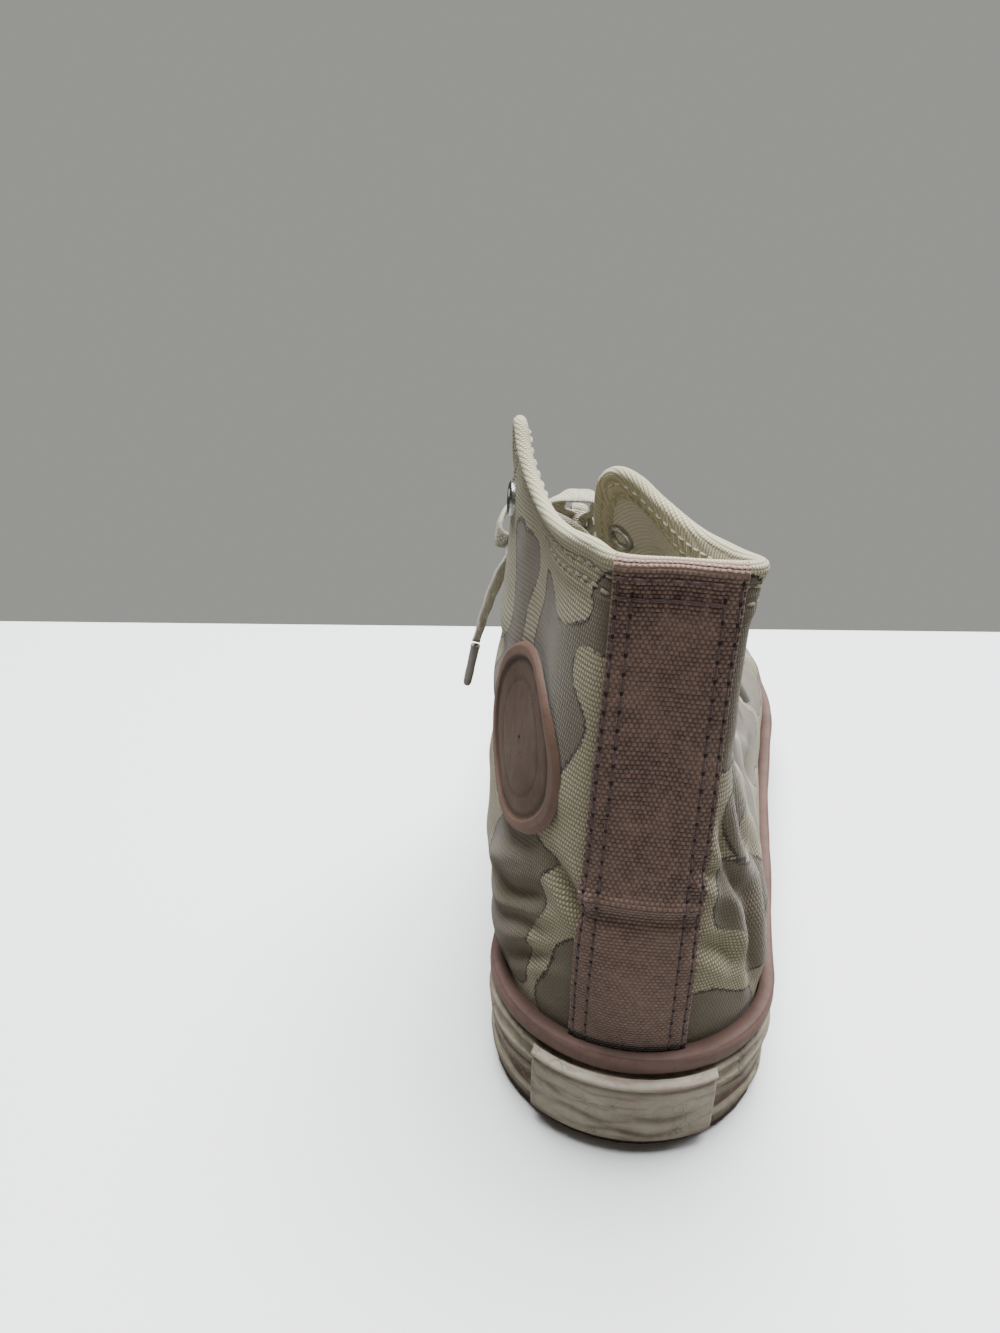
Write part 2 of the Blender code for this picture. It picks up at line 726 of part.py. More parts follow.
@lru_cache(maxsize=None)
def throat_frame(side, index):
    """Eyelet's centre, the edge beside it and the outward normal, at an index counted from the vamp up."""
    places, lengths = throat_run(side)
    s = float(np.interp(lengths[-1] * index / (EYELETS - 1), lengths, places))
    t = edge_share(s, EYELET_EDGE)
    centre = skin(s, t)
    edge = min((skin(s + 0.006 * k, 1.0) for k in range(-16, 17)), key=lambda point: (point - centre).length)
    return centre, edge, (skin(s, t, 0.01) - centre).normalized()


def facing(centre, normal):
    """Matrix that puts local +Z along normal at centre."""
    return Matrix.Translation(centre) @ normal.to_track_quat("Z", "Y").to_matrix().to_4x4()


def flange_reach(tree, centre, normal):
    """Highest outer face and lowest inner face of the wall under an eyelet's flange, along its normal."""
    right = normal.orthogonal().normalized()
    ahead = normal.cross(right)
    high, low = 0.0, -WALL
    for k in range(16):
        turn = math.pi * k / 8
        for radius in (EYELET_FLANGE + 0.0002, EYELET_FLANGE * 0.8):
            spot = centre + (right * math.cos(turn) + ahead * math.sin(turn)) * radius
            above = tree.ray_cast(spot + normal * 0.006, -normal, 0.012)[0]
            below = tree.ray_cast(spot - normal * 0.006, normal, 0.012)[0]
            if above is not None:
                high = max(high, (above - centre).dot(normal))
            if below is not None:
                low = min(low, (below - centre).dot(normal))
    return high + FLANGE_GAP, low - FLANGE_GAP


def build_eyelet(name, centre, normal, reach):
    """Metal eyelet: a barrel through the wall with a flange on each face, turned from its profile."""
    high, low = reach
    profile = (
        (EYELET_BORE, high + EYELET_LIP),
        (EYELET_FLANGE - 0.0006, high + EYELET_LIP),
        (EYELET_FLANGE, high),
        (EYELET_BARREL, high),
        (EYELET_BARREL, low),
        (EYELET_FLANGE - 0.0005, low),
        (EYELET_FLANGE - 0.0005, low - EYELET_LIP),
        (EYELET_BORE, low - EYELET_LIP),
    )
    spokes = 12
    place = facing(centre, normal)
    loops = []
    for radius, height in profile:
        turns = [2 * math.pi * k / spokes for k in range(spokes)]
        loops.append([place @ Vector((radius * math.cos(a), radius * math.sin(a), height)) for a in turns])
    return ring_loft(name, loops, "metal")


def build_punch(name, centre, normal, radius):
    """Hidden cutter for one eyelet's hole."""
    bpy.ops.mesh.primitive_cylinder_add(vertices=14, radius=radius, depth=0.012)
    punch = bpy.context.object
    punch.name = name
    punch.matrix_world = facing(centre, normal)
    punch.hide_render = True
    punch.display_type = "WIRE"
    for collection in punch.users_collection:
        collection.objects.unlink(punch)
    CUTTERS.objects.link(punch)
    return punch


def cut_with(obj, punch):
    """Exact Boolean cut of one object by a hidden cutter."""
    cut = obj.modifiers.new(punch.name, "BOOLEAN")
    cut.operation = "DIFFERENCE"
    cut.object = punch
    cut.solver = "EXACT"


def join_with(obj, other):
    """Exact Boolean union of one object with a hidden piece."""
    union = obj.modifiers.new(other.name, "BOOLEAN")
    union.operation = "UNION"
    union.object = other
    union.solver = "EXACT"


def build_tongue():
    """Canvas tongue that lies under both edges of the throat and the laces, sewn to the vamp at its foot."""
    grids = ([], [])
    for share in TONGUE_ROWS:
        index = share * (EYELETS - 1)
        seam = max(0.0, 1 - share / TONGUE_ROWS[1])
        tuck = TONGUE_TUCK + (TONGUE_SEAM_TUCK - TONGUE_TUCK) * seam
        ends = []
        for side in (-1, 1):
            centre, edge, normal = throat_frame(side, index)
            ends.append((edge.lerp(centre, tuck), edge, normal))
        (far_in, edge_in, n_in), (far_out, edge_out, n_out) = ends
        marks = [(far_in, n_in), (far_in.lerp(edge_in, 0.5), n_in), (edge_in, n_in)]
        for part in (0.25, 0.5, 0.75):
            marks.append((edge_in.lerp(edge_out, part), n_in.lerp(n_out, part).normalized()))
        marks += [(edge_out, n_out), (far_out.lerp(edge_out, 0.5), n_out), (far_out, n_out)]
        for grid, extra in zip(grids, (0.0, TONGUE_THICKNESS)):
            rise = seam * (TONGUE_DEPTH - WALL - GAP)
            drop = TONGUE_DEPTH + extra + share**2 * TONGUE_SAG - rise
            grid.append([point - normal * drop for point, normal in marks])
    return sheet_loft("tongue", grids[0], grids[1], "canvas")


def lace_strip(name, marks):
    """Flat lace strip on a smooth route through marks, each a point with the lace's normal."""
    steps = 9
    last = len(marks) - 1
    table = [(float(k), *point, *normal) for k, (point, normal) in enumerate(marks)]
    rows = [hermite(table, last * k / steps) for k in range(steps + 1)]
    grids = ([], [])
    for k, row in enumerate(rows):
        middle = Vector(row[:3])
        ahead = Vector(rows[min(k + 1, steps)][:3]) - Vector(rows[max(k - 1, 0)][:3])
        across = Vector(row[3:]).cross(ahead).normalized()
        up = ahead.cross(across).normalized()
        for grid, rise in zip(grids, (LACE_THICKNESS / 2, -LACE_THICKNESS / 2)):
            grid.append([middle + across * LACE_WIDTH / 2 * u + up * rise for u in (-1, -0.4, 0.4, 1)])
    return sheet_loft(name, grids[0], grids[1], "lace_cotton")


def build_crossing(index):
    """Two lace strips, each from over one eyelet to under the next one on the other side, joined."""
    over = HEM_STEP + GAP + EYELET_LIP + LACE_CLEAR + LACE_THICKNESS / 2
    under = WALL + GAP + EYELET_LIP + LACE_CLEAR + LACE_THICKNESS / 2
    slack = (index / (EYELETS - 2)) ** 2
    pieces = []
    for side in (1, -1):
        start, _, start_normal = throat_frame(side, index)
        near_hole, near, near_normal = throat_frame(side, index + EDGE_LEAD)
        far_hole, far, far_normal = throat_frame(-side, index + 1 - EDGE_LEAD)
        near_clear = near + (near - near_hole) * (EDGE_CLEAR + slack * EDGE_SLACK)
        far_clear = far + (far - far_hole) * (EDGE_CLEAR + slack * EDGE_SLACK)
        marks = [
            (start + start_normal * over, start_normal),
            (near_clear + near_normal * over, near_normal),
            (far_clear - far_normal * under, far_normal),
            (far.lerp(far_hole, END_TUCK) - far_normal * (under + END_SINK + slack * SINK_SLACK), far_normal),
        ]
        word = "" if side > 0 else "_under"
        pieces.append(lace_strip(f"lace_crossing_{index + 1}{word}", marks))
    first, second = pieces
    second.hide_render = True
    second.display_type = "WIRE"
    SHOE.objects.unlink(second)
    CUTTERS.objects.link(second)
    join_with(first, second)
    return first


def smooth_route(route, count):
    """Points evenly spaced by parameter along a smooth curve through the route."""
    table = [(float(k), *point) for k, point in enumerate(route)]
    last = len(route) - 1
    return [Vector(hermite(table, last * k / (count - 1))) for k in range(count)]


def build_cord(name, route, radius, finish, count=30):
    """Round cord along a smooth route."""
    curve = bpy.data.curves.new(name, "CURVE")
    curve.dimensions = "3D"
    curve.bevel_depth = radius
    curve.bevel_resolution = 2
    curve.use_fill_caps = True
    spline = curve.splines.new("POLY")
    spline.points.add(count - 1)
    for point, place in zip(spline.points, smooth_route(route, count)):
        point.co = (*place, 1.0)
    return add_object(name, curve, finish)


def build_bow():
    """Knot of the bow, its loops, the runs from the top laced eyelets and both hanging ends."""
    bpy.ops.mesh.primitive_uv_sphere_add(segments=14, ring_count=8, location=KNOT_CENTRE)
    knot = bpy.context.object
    knot.name = "lace_knot"
    knot.scale = KNOT_RADII
    bpy.ops.object.transform_apply(location=True, rotation=False, scale=True)
    knot.data.materials.append(material("lace_cotton"))
    for collection in knot.users_collection:
        collection.objects.unlink(knot)
    SHOE.objects.link(knot)
    for name, route in LACE_ROUTES.items():
        build_cord(name, route, CORD_RADIUS, "lace_cotton", count=4 * len(route) - 3)
    for name, route in AGLET_ROUTES.items():
        build_cord(name, route, AGLET_RADIUS, "metal", count=4)


def main():
    """Builds the shoe."""
    build_outsole()
    build_foxing()
    build_piping()
    build_heel_label()
    upper = build_upper()
    build_heel_strip()
    build_toe_cap()
    build_insole()
    tree = surface_tree(upper)
    build_patch(tree)
    for side, word in ((1, "outer"), (-1, "inner")):
        for k in range(EYELETS):
            centre, _, normal = throat_frame(side, k)
            build_eyelet(f"eyelet_{word}_{k + 1}", centre, normal, flange_reach(tree, centre, normal))
            punch = build_punch(f"punch_{word}_{k + 1}", centre, normal, EYELET_BARREL + GAP)
            cut_with(upper, punch)
    build_tongue()
    for index in range(LACED_PAIRS - 1):
        build_crossing(index)
    build_bow()


for stale in list(bpy.data.objects):
    bpy.data.objects.remove(stale)
SHOE = bpy.data.collections.new("high_top_sneaker")
CUTTERS = bpy.data.collections.new("cutters")
for group in (SHOE, CUTTERS):
    bpy.context.scene.collection.children.link(group)
main()
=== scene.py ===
"""Looks of a worn high-top canvas sneaker for the right foot, standing empty on its rubber sole.

Metres, +Z up, toe along +Y, little-toe side along +X. The shoe's surface is described by ribs that run from
the foxing up to the top line. A place round the shoe is s, from the back seam (0) forward to the toe (+1 on
the outer side, -1 on the inner side). A place up a rib is t, from the foot (0) to the top line (1).
"""

import logging
import math
from dataclasses import dataclass
from enum import Enum
from functools import cached_property, partial
from typing import Callable

import bpy
import numpy as np
from mathutils import Matrix, Vector, noise


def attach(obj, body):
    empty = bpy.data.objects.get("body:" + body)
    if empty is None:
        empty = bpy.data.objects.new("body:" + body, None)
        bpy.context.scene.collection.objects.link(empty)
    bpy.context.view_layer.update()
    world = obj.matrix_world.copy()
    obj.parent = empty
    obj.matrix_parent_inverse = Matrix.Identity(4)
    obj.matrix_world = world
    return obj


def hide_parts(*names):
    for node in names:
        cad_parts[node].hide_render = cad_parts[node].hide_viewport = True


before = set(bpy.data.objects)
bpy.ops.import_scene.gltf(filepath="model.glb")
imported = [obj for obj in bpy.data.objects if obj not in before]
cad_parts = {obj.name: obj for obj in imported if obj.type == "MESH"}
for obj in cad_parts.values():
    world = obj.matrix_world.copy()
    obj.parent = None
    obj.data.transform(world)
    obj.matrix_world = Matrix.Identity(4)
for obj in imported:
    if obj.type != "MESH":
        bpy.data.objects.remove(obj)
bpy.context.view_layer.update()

LOG = logging.getLogger("sneaker")
MM = 0.001
# Distances of the hem's two rows of stitches from its edge, and points round one lace.
HEM_ROWS = (0.0038, 0.0078)
LACE_SPOKES = 24

Grid = np.ndarray
Node = bpy.types.Node


class Side(Enum):
    """The two sides of the shoe, as the sign of the place round it."""

    OUTER = 1
    INNER = -1


# Plan of the sole: along the length in percent, then half widths in percent of the heel's width and of
# the ball's width, first for the inner side and then for the outer side.
PLAN = (
    (0, 50, 0, 50, 0),
    (16, 50, 0, 51, 0),
    (30, 42, 6, 44, 8),
    (44, 28, 16, 26, 24),
    (58, 10, 37, 6, 43),
    (70, 0, 49, 0, 51),
    (84, 0, 48, 0, 48),
    (100, 0, 44, 0, 44),
)

# Ribs of the upper: place, then the place on the top line, the swell and lift of the foot and the lead of
# the top, in percents of heel width, length and back height.
OUTER_RIBS = (
    (0.000, (2.1, 2.0, 100.3), (1.0, 19), (0.0, -0.2, -22)),
    (0.057, (18.2, 1.9, 100.5), (1.0, 19), (-1.5, -0.2, -22)),
    (0.095, (22.8, 3.6, 100.0), (2.0, 19), (-6.0, -0.2, -22)),
    (0.135, (17.5, 7.6, 98.7), (5.0, 17), (-4.0, 0.0, -21)),
    (0.180, (8.0, 12.8, 98.0), (8.0, 16), (3.0, 0.0, -20)),
    (0.225, (-2.5, 17.0, 99.6), (8.0, 16), (12.0, 0.0, -18)),
    (0.260, (-10.0, 19.6, 101.3), (7.0, 16), (17.0, -0.4, -17)),
    (0.290, (-16.5, 21.6, 101.3), (6.0, 16), (21.0, -1.0, -16)),
    (0.315, (-21.0, 23.4, 98.5), (4.5, 17), (26.0, -1.6, -15)),
    (0.345, (-21.5, 26.2, 91.0), (3.0, 17), (32.0, -2.2, -13)),
    (0.400, (-17.5, 32.5, 78.0), (3.0, 16), (35.0, -2.6, -10)),
    (0.460, (-11.0, 40.5, 66.0), (2.5, 15), (37.0, -2.4, -8)),
    (0.525, (-4.0, 49.5, 55.5), (2.0, 14), (38.0, -1.4, -5)),
    (0.600, (2.5, 58.0, 47.5), (1.5, 12), (36.0, 1.0, -3)),
    (0.700, (4.0, 64.0, 43.0), (1.0, 12), (29.0, 5.0, -3)),
    (0.800, (3.0, 66.3, 41.6), (0.5, 12), (19.0, 10.0, -4)),
    (0.900, (0.5, 67.2, 41.1), (0.0, 12), (9.0, 13.0, -4)),
    (1.000, (-2.0, 67.4, 41.0), (0.0, 12), (0.0, 13.6, -4)),
)
INNER_RIBS = (
    (0.057, (-13.7, 1.9, 100.5), (1.0, 19), (-1.0, -0.2, -22)),
    (0.095, (-20.5, 3.8, 101.0), (0.0, 19), (-2.0, -0.2, -22)),
    (0.135, (-28.5, 7.2, 100.2), (4.0, 16), (3.0, -0.2, -21)),
    (0.180, (-35.5, 11.6, 100.2), (15.0, 11), (12.0, 0.0, -20)),
    (0.225, (-41.5, 15.6, 102.4), (23.0, 9), (16.0, 0.0, -20)),
    (0.260, (-45.5, 18.2, 105.5), (28.0, 9), (11.0, 0.0, -20)),
    (0.290, (-47.5, 20.2, 108.0), (30.0, 9), (8.0, -0.4, -20)),
    (0.315, (-49.0, 22.4, 107.0), (29.0, 10), (4.0, -1.0, -19)),
    (0.345, (-50.0, 25.6, 99.5), (25.0, 12), (-2.0, -2.0, -16)),
    (0.400, (-47.0, 32.5, 84.0), (17.0, 14), (-11.0, -2.6, -12)),
    (0.460, (-39.0, 40.5, 69.5), (8.0, 15), (-20.0, -2.4, -9)),
    (0.525, (-28.5, 49.5, 57.5), (5.0, 14), (-25.0, -1.4, -6)),
    (0.600, (-18.5, 58.0, 48.5), (3.0, 12), (-29.0, 1.0, -3)),
    (0.700, (-12.0, 64.0, 43.3), (1.0, 12), (-26.0, 5.0, -3)),
    (0.800, (-8.5, 66.3, 41.7), (0.5, 12), (-18.0, 10.0, -4)),
    (0.900, (-5.0, 67.2, 41.1), (0.0, 12), (-9.0, 13.0, -4)),
)


class SmoothTable:
    """Smooth curve through rows of a key and its values."""

    def __init__(self, rows: list, period: float | None = None) -> None:
        """Keeps the rows and works out their slopes.

        Args:
            rows: Rows of (key, value, value ...), in order of key.
            period: Length after which the keys repeat, or None.
        """
        table = np.array(rows, float)
        if period is not None:
            shift = np.zeros(table.shape[1])
            shift[0] = period
            table = np.concatenate([table[-3:] - shift, table, table[:3] + shift])
        self.period = period
        self.keys = table[:, 0]
        self.values = table[:, 1:]
        order = np.arange(len(table))
        ahead = np.minimum(order + 1, len(table) - 1)
        behind = np.maximum(order - 1, 0)
        reach = (self.keys[ahead] - self.keys[behind])[:, None]
        self.slopes = (self.values[ahead] - self.values[behind]) / reach

    def at(self, keys: Grid) -> Grid:
        """Values at the given keys, with one more axis than keys."""
        keys = np.asarray(keys, float)
        if self.period is not None:
            keys = keys % self.period
        keys = np.clip(keys, self.keys[0], self.keys[-1])
        low = np.clip(np.searchsorted(self.keys, keys, side="right") - 1, 0, len(self.keys) - 2)
        span = (self.keys[low + 1] - self.keys[low])[..., None]
        share = (keys - self.keys[low])[..., None] / span
        cube, square = share**3, share**2
        return (
            (2 * cube - 3 * square + 1) * self.values[low]
            + (cube - 2 * square + share) * self.slopes[low] * span
            + (3 * square - 2 * cube) * self.values[low + 1]
            + (cube - square) * self.slopes[low + 1] * span
        )


def unit(vectors: Grid) -> Grid:
    """Vectors scaled to length one."""
    return vectors / np.maximum(np.linalg.norm(vectors, axis=-1, keepdims=True), 1e-12)


def bell(value: Grid, centre: float, width: float) -> Grid:
    """Soft bump of height one round a centre."""
    return np.exp(-(((value - centre) / width) ** 2))


def run_along(line: Grid) -> Grid:
    """Running length at each point of a line."""
    return np.concatenate([[0], np.cumsum(np.linalg.norm(np.diff(line, axis=0), axis=1))])


def places_along(at: Grid | float, run: Grid, line: Grid) -> Grid:
    """Places on a line at running lengths, from the running length and place of each of its points."""
    return np.stack([np.interp(at, run, line[:, axis]) for axis in range(3)], axis=-1)


def flat_grid(across: Grid, along: Grid) -> Grid:
    """Flat places of a grid of points, in millimetres."""
    return np.stack(np.broadcast_arrays(across, along), axis=-1)


@dataclass(frozen=True)
class ShoeForm:
    """True shape of the last, the same as the solid part's."""

    length: float = 0.266
    ball_width: float = 0.099
    heel_width: float = 0.0745
    back_height: float = 0.155
    heel_setback: float = 0.036
    heel_round: float = 0.036
    toe_round: float = 0.056
    heel_turn: float = 0.22
    side_run: float = 0.46
    toe_start: float = 0.68
    toe_turn: float = 0.32
    midline_swing: float = 0.006
    toe_spring: float = 0.007
    spring_start: float = 0.72
    foxing_thickness: float = 0.0036
    foxing_heel: float = 0.032
    foxing_ball: float = 0.028
    foxing_toe: float = 0.031
    skin_gap: float = 0.0005
    wall: float = 0.0019
    hem_step: float = 0.0004
    gap: float = 0.0003
    eyelet_edge: float = 0.0085
    eyelets: int = 8
    throat_low: float = 0.67
    throat_high: float = 0.328

    @cached_property
    def plan_table(self) -> SmoothTable:
        """Half widths along the sole."""
        return SmoothTable(list(PLAN))

    @cached_property
    def rib_table(self) -> SmoothTable:
        """Ribs round the whole shoe."""
        rows = [(key, *top, *foot, *lead) for key, top, foot, lead in OUTER_RIBS]
        rows += [(2.0 - key, *top, *foot, *lead) for key, top, foot, lead in INNER_RIBS]
        return SmoothTable(sorted(rows), period=2.0)

    @cached_property
    def top_table(self) -> SmoothTable:
        """Height of the foxing's top along the sole."""
        return SmoothTable(
            [
                (0.0, self.foxing_heel),
                (0.2, self.foxing_heel - 0.001),
                (0.45, self.foxing_ball),
                (0.75, self.foxing_ball),
                (1.0, self.foxing_toe),
            ]
        )

    def plan(self, s: Grid, inset: Grid | float = 0.0) -> tuple[Grid, Grid, Grid]:
        """Sole's outline moved inwards.

        Args:
            s: Places round the shoe.
            inset: Distance inwards, in metres.

        Returns:
            Distance across, world distance forward and share of the length.
        """
        s = np.asarray(s, float) % 2.0
        side = np.where(s <= 1.0, 1.0, -1.0)
        reach = np.where(s <= 1.0, s, 2.0 - s)
        heel, toe = self.heel_round - inset, self.toe_round - inset
        heel_turn = np.clip(reach / self.heel_turn, 0, 1) * math.pi / 2
        toe_turn = np.clip((1 - reach) / self.toe_turn, 0, 1) * math.pi / 2
        middle_share = (reach - self.heel_turn) / self.side_run
        along = np.where(
            reach < self.heel_turn,
            inset + heel * (1 - np.cos(heel_turn)),
            np.where(
                reach > self.toe_start,
                self.length - inset - toe * (1 - np.cos(toe_turn)),
                self.heel_round + middle_share * (self.length - self.toe_round - self.heel_round),
            ),
        )
        toe_end = np.where(reach > self.toe_start, np.sin(toe_turn), 1.0)
        end = np.where(reach < self.heel_turn, np.sin(heel_turn), toe_end)
        widths = self.plan_table.at(along / self.length * 100) / 100
        inner = widths[..., 0] * self.heel_width + widths[..., 1] * self.ball_width
        outer = widths[..., 2] * self.heel_width + widths[..., 3] * self.ball_width
        half = (np.where(side < 0, inner, outer) - inset) * end
        share = along / self.length
        middle = -self.midline_swing * np.maximum(0.0, share - 0.5) ** 2 * 4
        return middle + side * half, along - self.heel_setback, share

    def outline(self, s: Grid, inset: Grid | float, height: Grid) -> Grid:
        """Points of the sole's outline moved inwards, at a height over the floor."""
        x, y, _ = self.plan(s, inset)
        return np.stack([x, y, height], axis=-1)

    def spring(self, share: Grid) -> Grid:
        """Rise of the sole's underside at shares of the length."""
        run = np.maximum(0.0, (share - self.spring_start) / (1 - self.spring_start))
        return self.toe_spring * run**2

    def foxing_top(self, share: Grid) -> Grid:
        """Height of the foxing's top edge over the floor."""
        return self.top_table.at(share)[..., 0] + self.spring(share)

    def ribs(self, s: Grid) -> Grid:
        """Control points of the ribs at places s, on a new axis of four."""
        values = self.rib_table.at(s) / 100
        scale = np.array([self.heel_width, self.length, self.back_height])
        top = values[..., 0:3] * scale - np.array([0, self.heel_setback, 0])
        lead = values[..., 5:8] * scale
        inset = self.foxing_thickness + self.skin_gap
        foot = self.outline(s, inset, self.foxing_top(self.plan(s, inset)[2]))
        ahead = self.plan(np.asarray(s) + 0.004, self.foxing_thickness)
        behind = self.plan(np.asarray(s) - 0.004, self.foxing_thickness)
        level = np.zeros_like(foot[..., 0])
        tangent = unit(np.stack([ahead[0] - behind[0], ahead[1] - behind[1], level], axis=-1))
        outward = np.stack([tangent[..., 1], -tangent[..., 0], level], axis=-1)
        lift = np.array([0, 0, 1.0]) * values[..., 4:5] * self.back_height
        foot_lead = foot + outward * values[..., 3:4] * self.heel_width + lift
        return np.stack([foot, foot_lead, top + lead, top], axis=-2)

    def point(self, s: Grid, t: Grid) -> Grid:
        """Points of the upper's outer face."""
        s, t = np.broadcast_arrays(np.asarray(s, float), np.asarray(t, float))
        ribs = self.ribs(s)
        t = t[..., None]
        return (
            ribs[..., 0, :] * (1 - t) ** 3
            + ribs[..., 1, :] * 3 * t * (1 - t) ** 2
            + ribs[..., 2, :] * 3 * t * t * (1 - t)
            + ribs[..., 3, :] * t**3
        )

    def normal(self, s: Grid, t: Grid) -> Grid:
        """Outward normals of the upper's outer face."""
        s, t = np.broadcast_arrays(np.asarray(s, float), np.asarray(t, float))
        up = self.point(s, np.minimum(1.0, t + 0.02)) - self.point(s, np.maximum(0.0, t - 0.02))
        round_it = self.point(s + 0.004, t) - self.point(s - 0.004, t)
        return unit(np.cross(round_it, up))

    def rib_length(self, s: Grid) -> Grid:
        """Lengths of the ribs at places s."""
        s = np.asarray(s, float)
        steps = self.point(s[..., None], np.linspace(0, 1, 11))
        return np.linalg.norm(np.diff(steps, axis=-2), axis=-1).sum(axis=-1)

    @cached_property
    def girth(self) -> tuple[Grid, Grid]:
        """Places from -1 to 1 and their distance round the shoe from the back seam, low on the upper."""
        places = np.linspace(-1, 1, 801)
        line = self.point(places, 0.25)
        run = run_along(line)
        return places, run - run[400]

    def panel(self, s: Grid, t: Grid) -> tuple[Grid, Grid]:
        """Flat place on the canvas, in millimetres: round from the back seam, and up from the foxing."""
        places, runs = self.girth
        return np.interp(s, places, runs) / MM, t * self.rib_length(s) / MM

    def place_at(self, round_mm: float) -> float:
        """Place round the shoe at a distance from the back seam in millimetres."""
        places, runs = self.girth
        return float(np.interp(round_mm * MM, runs, places))

    def edge_share(self, s: float, distance: float) -> float:
        """Share of the rib's height at a distance square to the edge of the throat or collar."""
        along = unit(self.point(s + 0.004, 1.0) - self.point(s - 0.004, 1.0))
        shares = np.linspace(0.4, 1.0, 601)
        reach = self.point(s, 1.0) - self.point(np.full_like(shares, s), shares)
        square = np.linalg.norm(reach - (reach @ along)[:, None] * along, axis=1)
        near = np.nonzero(square > distance)[0]
        return float(shares[near[-1]]) if len(near) else 0.4

    @cached_property
    def throat_runs(self) -> dict[Side, tuple[Grid, Grid]]:
        """Places and running lengths along the eyelets' line of each side, from the vamp up."""
        runs = {}
        for side in Side:
            shares = np.arange(-6, 61) / 60
            places = side.value * (self.throat_low + (self.throat_high - self.throat_low) * shares)
            points = np.array([self.point(s, self.edge_share(s, self.eyelet_edge)) for s in places])
            lengths = run_along(points)
            runs[side] = (places, lengths - lengths[6])
        return runs

    def throat(self, side: Side, index: float) -> tuple[Vector, Vector, Vector]:
        """Eyelet's centre, the throat's edge beside it and the outward normal.

        Args:
            side: Side of the shoe.
            index: Place along the eyelets, from the vamp (0) up.

        Returns:
            Centre, edge and normal.
        """
        places, lengths = self.throat_runs[side]
        s = float(np.interp(lengths[-1] * index / (self.eyelets - 1), lengths, places))
        t = self.edge_share(s, self.eyelet_edge)
        centre = self.point(s, t)
        edges = self.point(s + 0.003 * np.arange(-32, 33), 1.0)
        edge = edges[np.argmin(np.linalg.norm(edges - centre, axis=1))]
        return Vector(centre), Vector(edge), Vector(self.normal(s, t))


@dataclass(frozen=True)
class Fold:
    """Soft trough or ridge in the canvas between two places, in millimetres on the flat panel."""

    start: tuple[float, float]
    end: tuple[float, float]
    depth: float
    width: float
    bend: float = 0.0

    def height(self, u: Grid, v: Grid) -> Grid:
        """Rise of the canvas, in millimetres, negative in a trough."""
        a, b = np.array(self.start, float), np.array(self.end, float)
        run = b - a
        length = float(np.hypot(*run))
        ahead = run / length
        along = ((u - a[0]) * ahead[0] + (v - a[1]) * ahead[1]) / length
        off = -(u - a[0]) * ahead[1] + (v - a[1]) * ahead[0]
        off = off - self.bend * 4 * np.clip(along, 0, 1) * (1 - np.clip(along, 0, 1))
        past = np.maximum(0, np.abs(along - 0.5) - 0.5) * length
        fade = np.exp(-((past / (0.8 * self.width + 2)) ** 2)) * (0.35 + 0.65 * np.sin(
            math.pi * np.clip(along * 0.9 + 0.05, 0, 1)))
        trough = np.exp(-((off / self.width) ** 2))
        shoulder = np.exp(-(((np.abs(off) - 2.0 * self.width) / self.width) ** 2))
        return -self.depth * fade * (trough - 0.35 * shoulder)


# Main creases, placed one by one. Places round the shoe are positive on the outer side.
FOLDS = (
    # Ankle, inner side. A negative depth is a ridge.
    Fold((-58, 37), (-32, 47), -1.3, 2.8, 2.0),
    Fold((-48, 35), (-27, 39), 2.4, 2.6, -1.0),
    Fold((-22, 50), (-13, 40), 1.9, 2.4, 1.0),
    Fold((-45, 26), (-24, 30), 1.5, 2.8, 1.5),
    Fold((-26, 62), (-42, 75), 1.3, 2.8, 1.0),
    Fold((-20, 24), (-38, 12), 1.3, 2.6, -1.5),
    Fold((-54, 26), (-88, 30), 1.7, 3.8, -2.0),
    Fold((-42, 8), (-58, 20), 1.1, 2.8, 1.5),
    Fold((-86, 64), (-118, 44), 2.0, 4.2, 3.0),
    Fold((-92, 46), (-128, 30), 1.8, 3.8, -2.0),
    Fold((-76, 84), (-104, 82), 1.3, 3.6, 2.0),
    # Ankle, outer side.
    Fold((13, 58), (21, 50), 2.0, 2.0, 0.5),
    Fold((18, 66), (33, 42), 2.4, 2.4, -2.0),
    Fold((24, 50), (30, 30), -1.2, 2.4, -1.0),
    Fold((34, 42), (36, 12), 2.0, 2.6, -1.5),
    Fold((26, 78), (46, 46), 2.0, 2.8, -3.0),
    Fold((47, 46), (50, 16), 1.7, 3.0, -2.0),
    Fold((15, 36), (26, 26), 1.4, 2.4, 1.0),
    Fold((40, 74), (72, 52), 1.9, 3.6, 3.0),
    Fold((56, 20), (88, 26), 1.5, 3.6, 2.0),
    Fold((84, 66), (116, 46), 2.0, 4.2, 3.0),
    Fold((92, 44), (130, 30), 1.8, 3.8, -2.0),
    Fold((70, 92), (98, 88), 1.3, 3.6, 2.0),
    # Ball of the foot, where the toe bends.
    Fold((-214, 10), (-208, 52), 1.4, 4.5, 3.0),
    Fold((-228, 8), (-226, 46), 1.2, 4.0, -2.5),
    Fold((-198, 8), (-190, 44), 0.9, 4.0, 2.0),
    Fold((212, 10), (206, 52), 1.4, 4.5, -3.0),
    Fold((227, 8), (224, 46), 1.2, 4.0, 2.5),
    Fold((196, 8), (188, 44), 0.9, 4.0, -2.0),
    Fold((-250, 40), (-262, 56), 0.8, 4.0, 1.0),
    Fold((250, 40), (262, 56), 0.8, 4.0, -1.0),
)


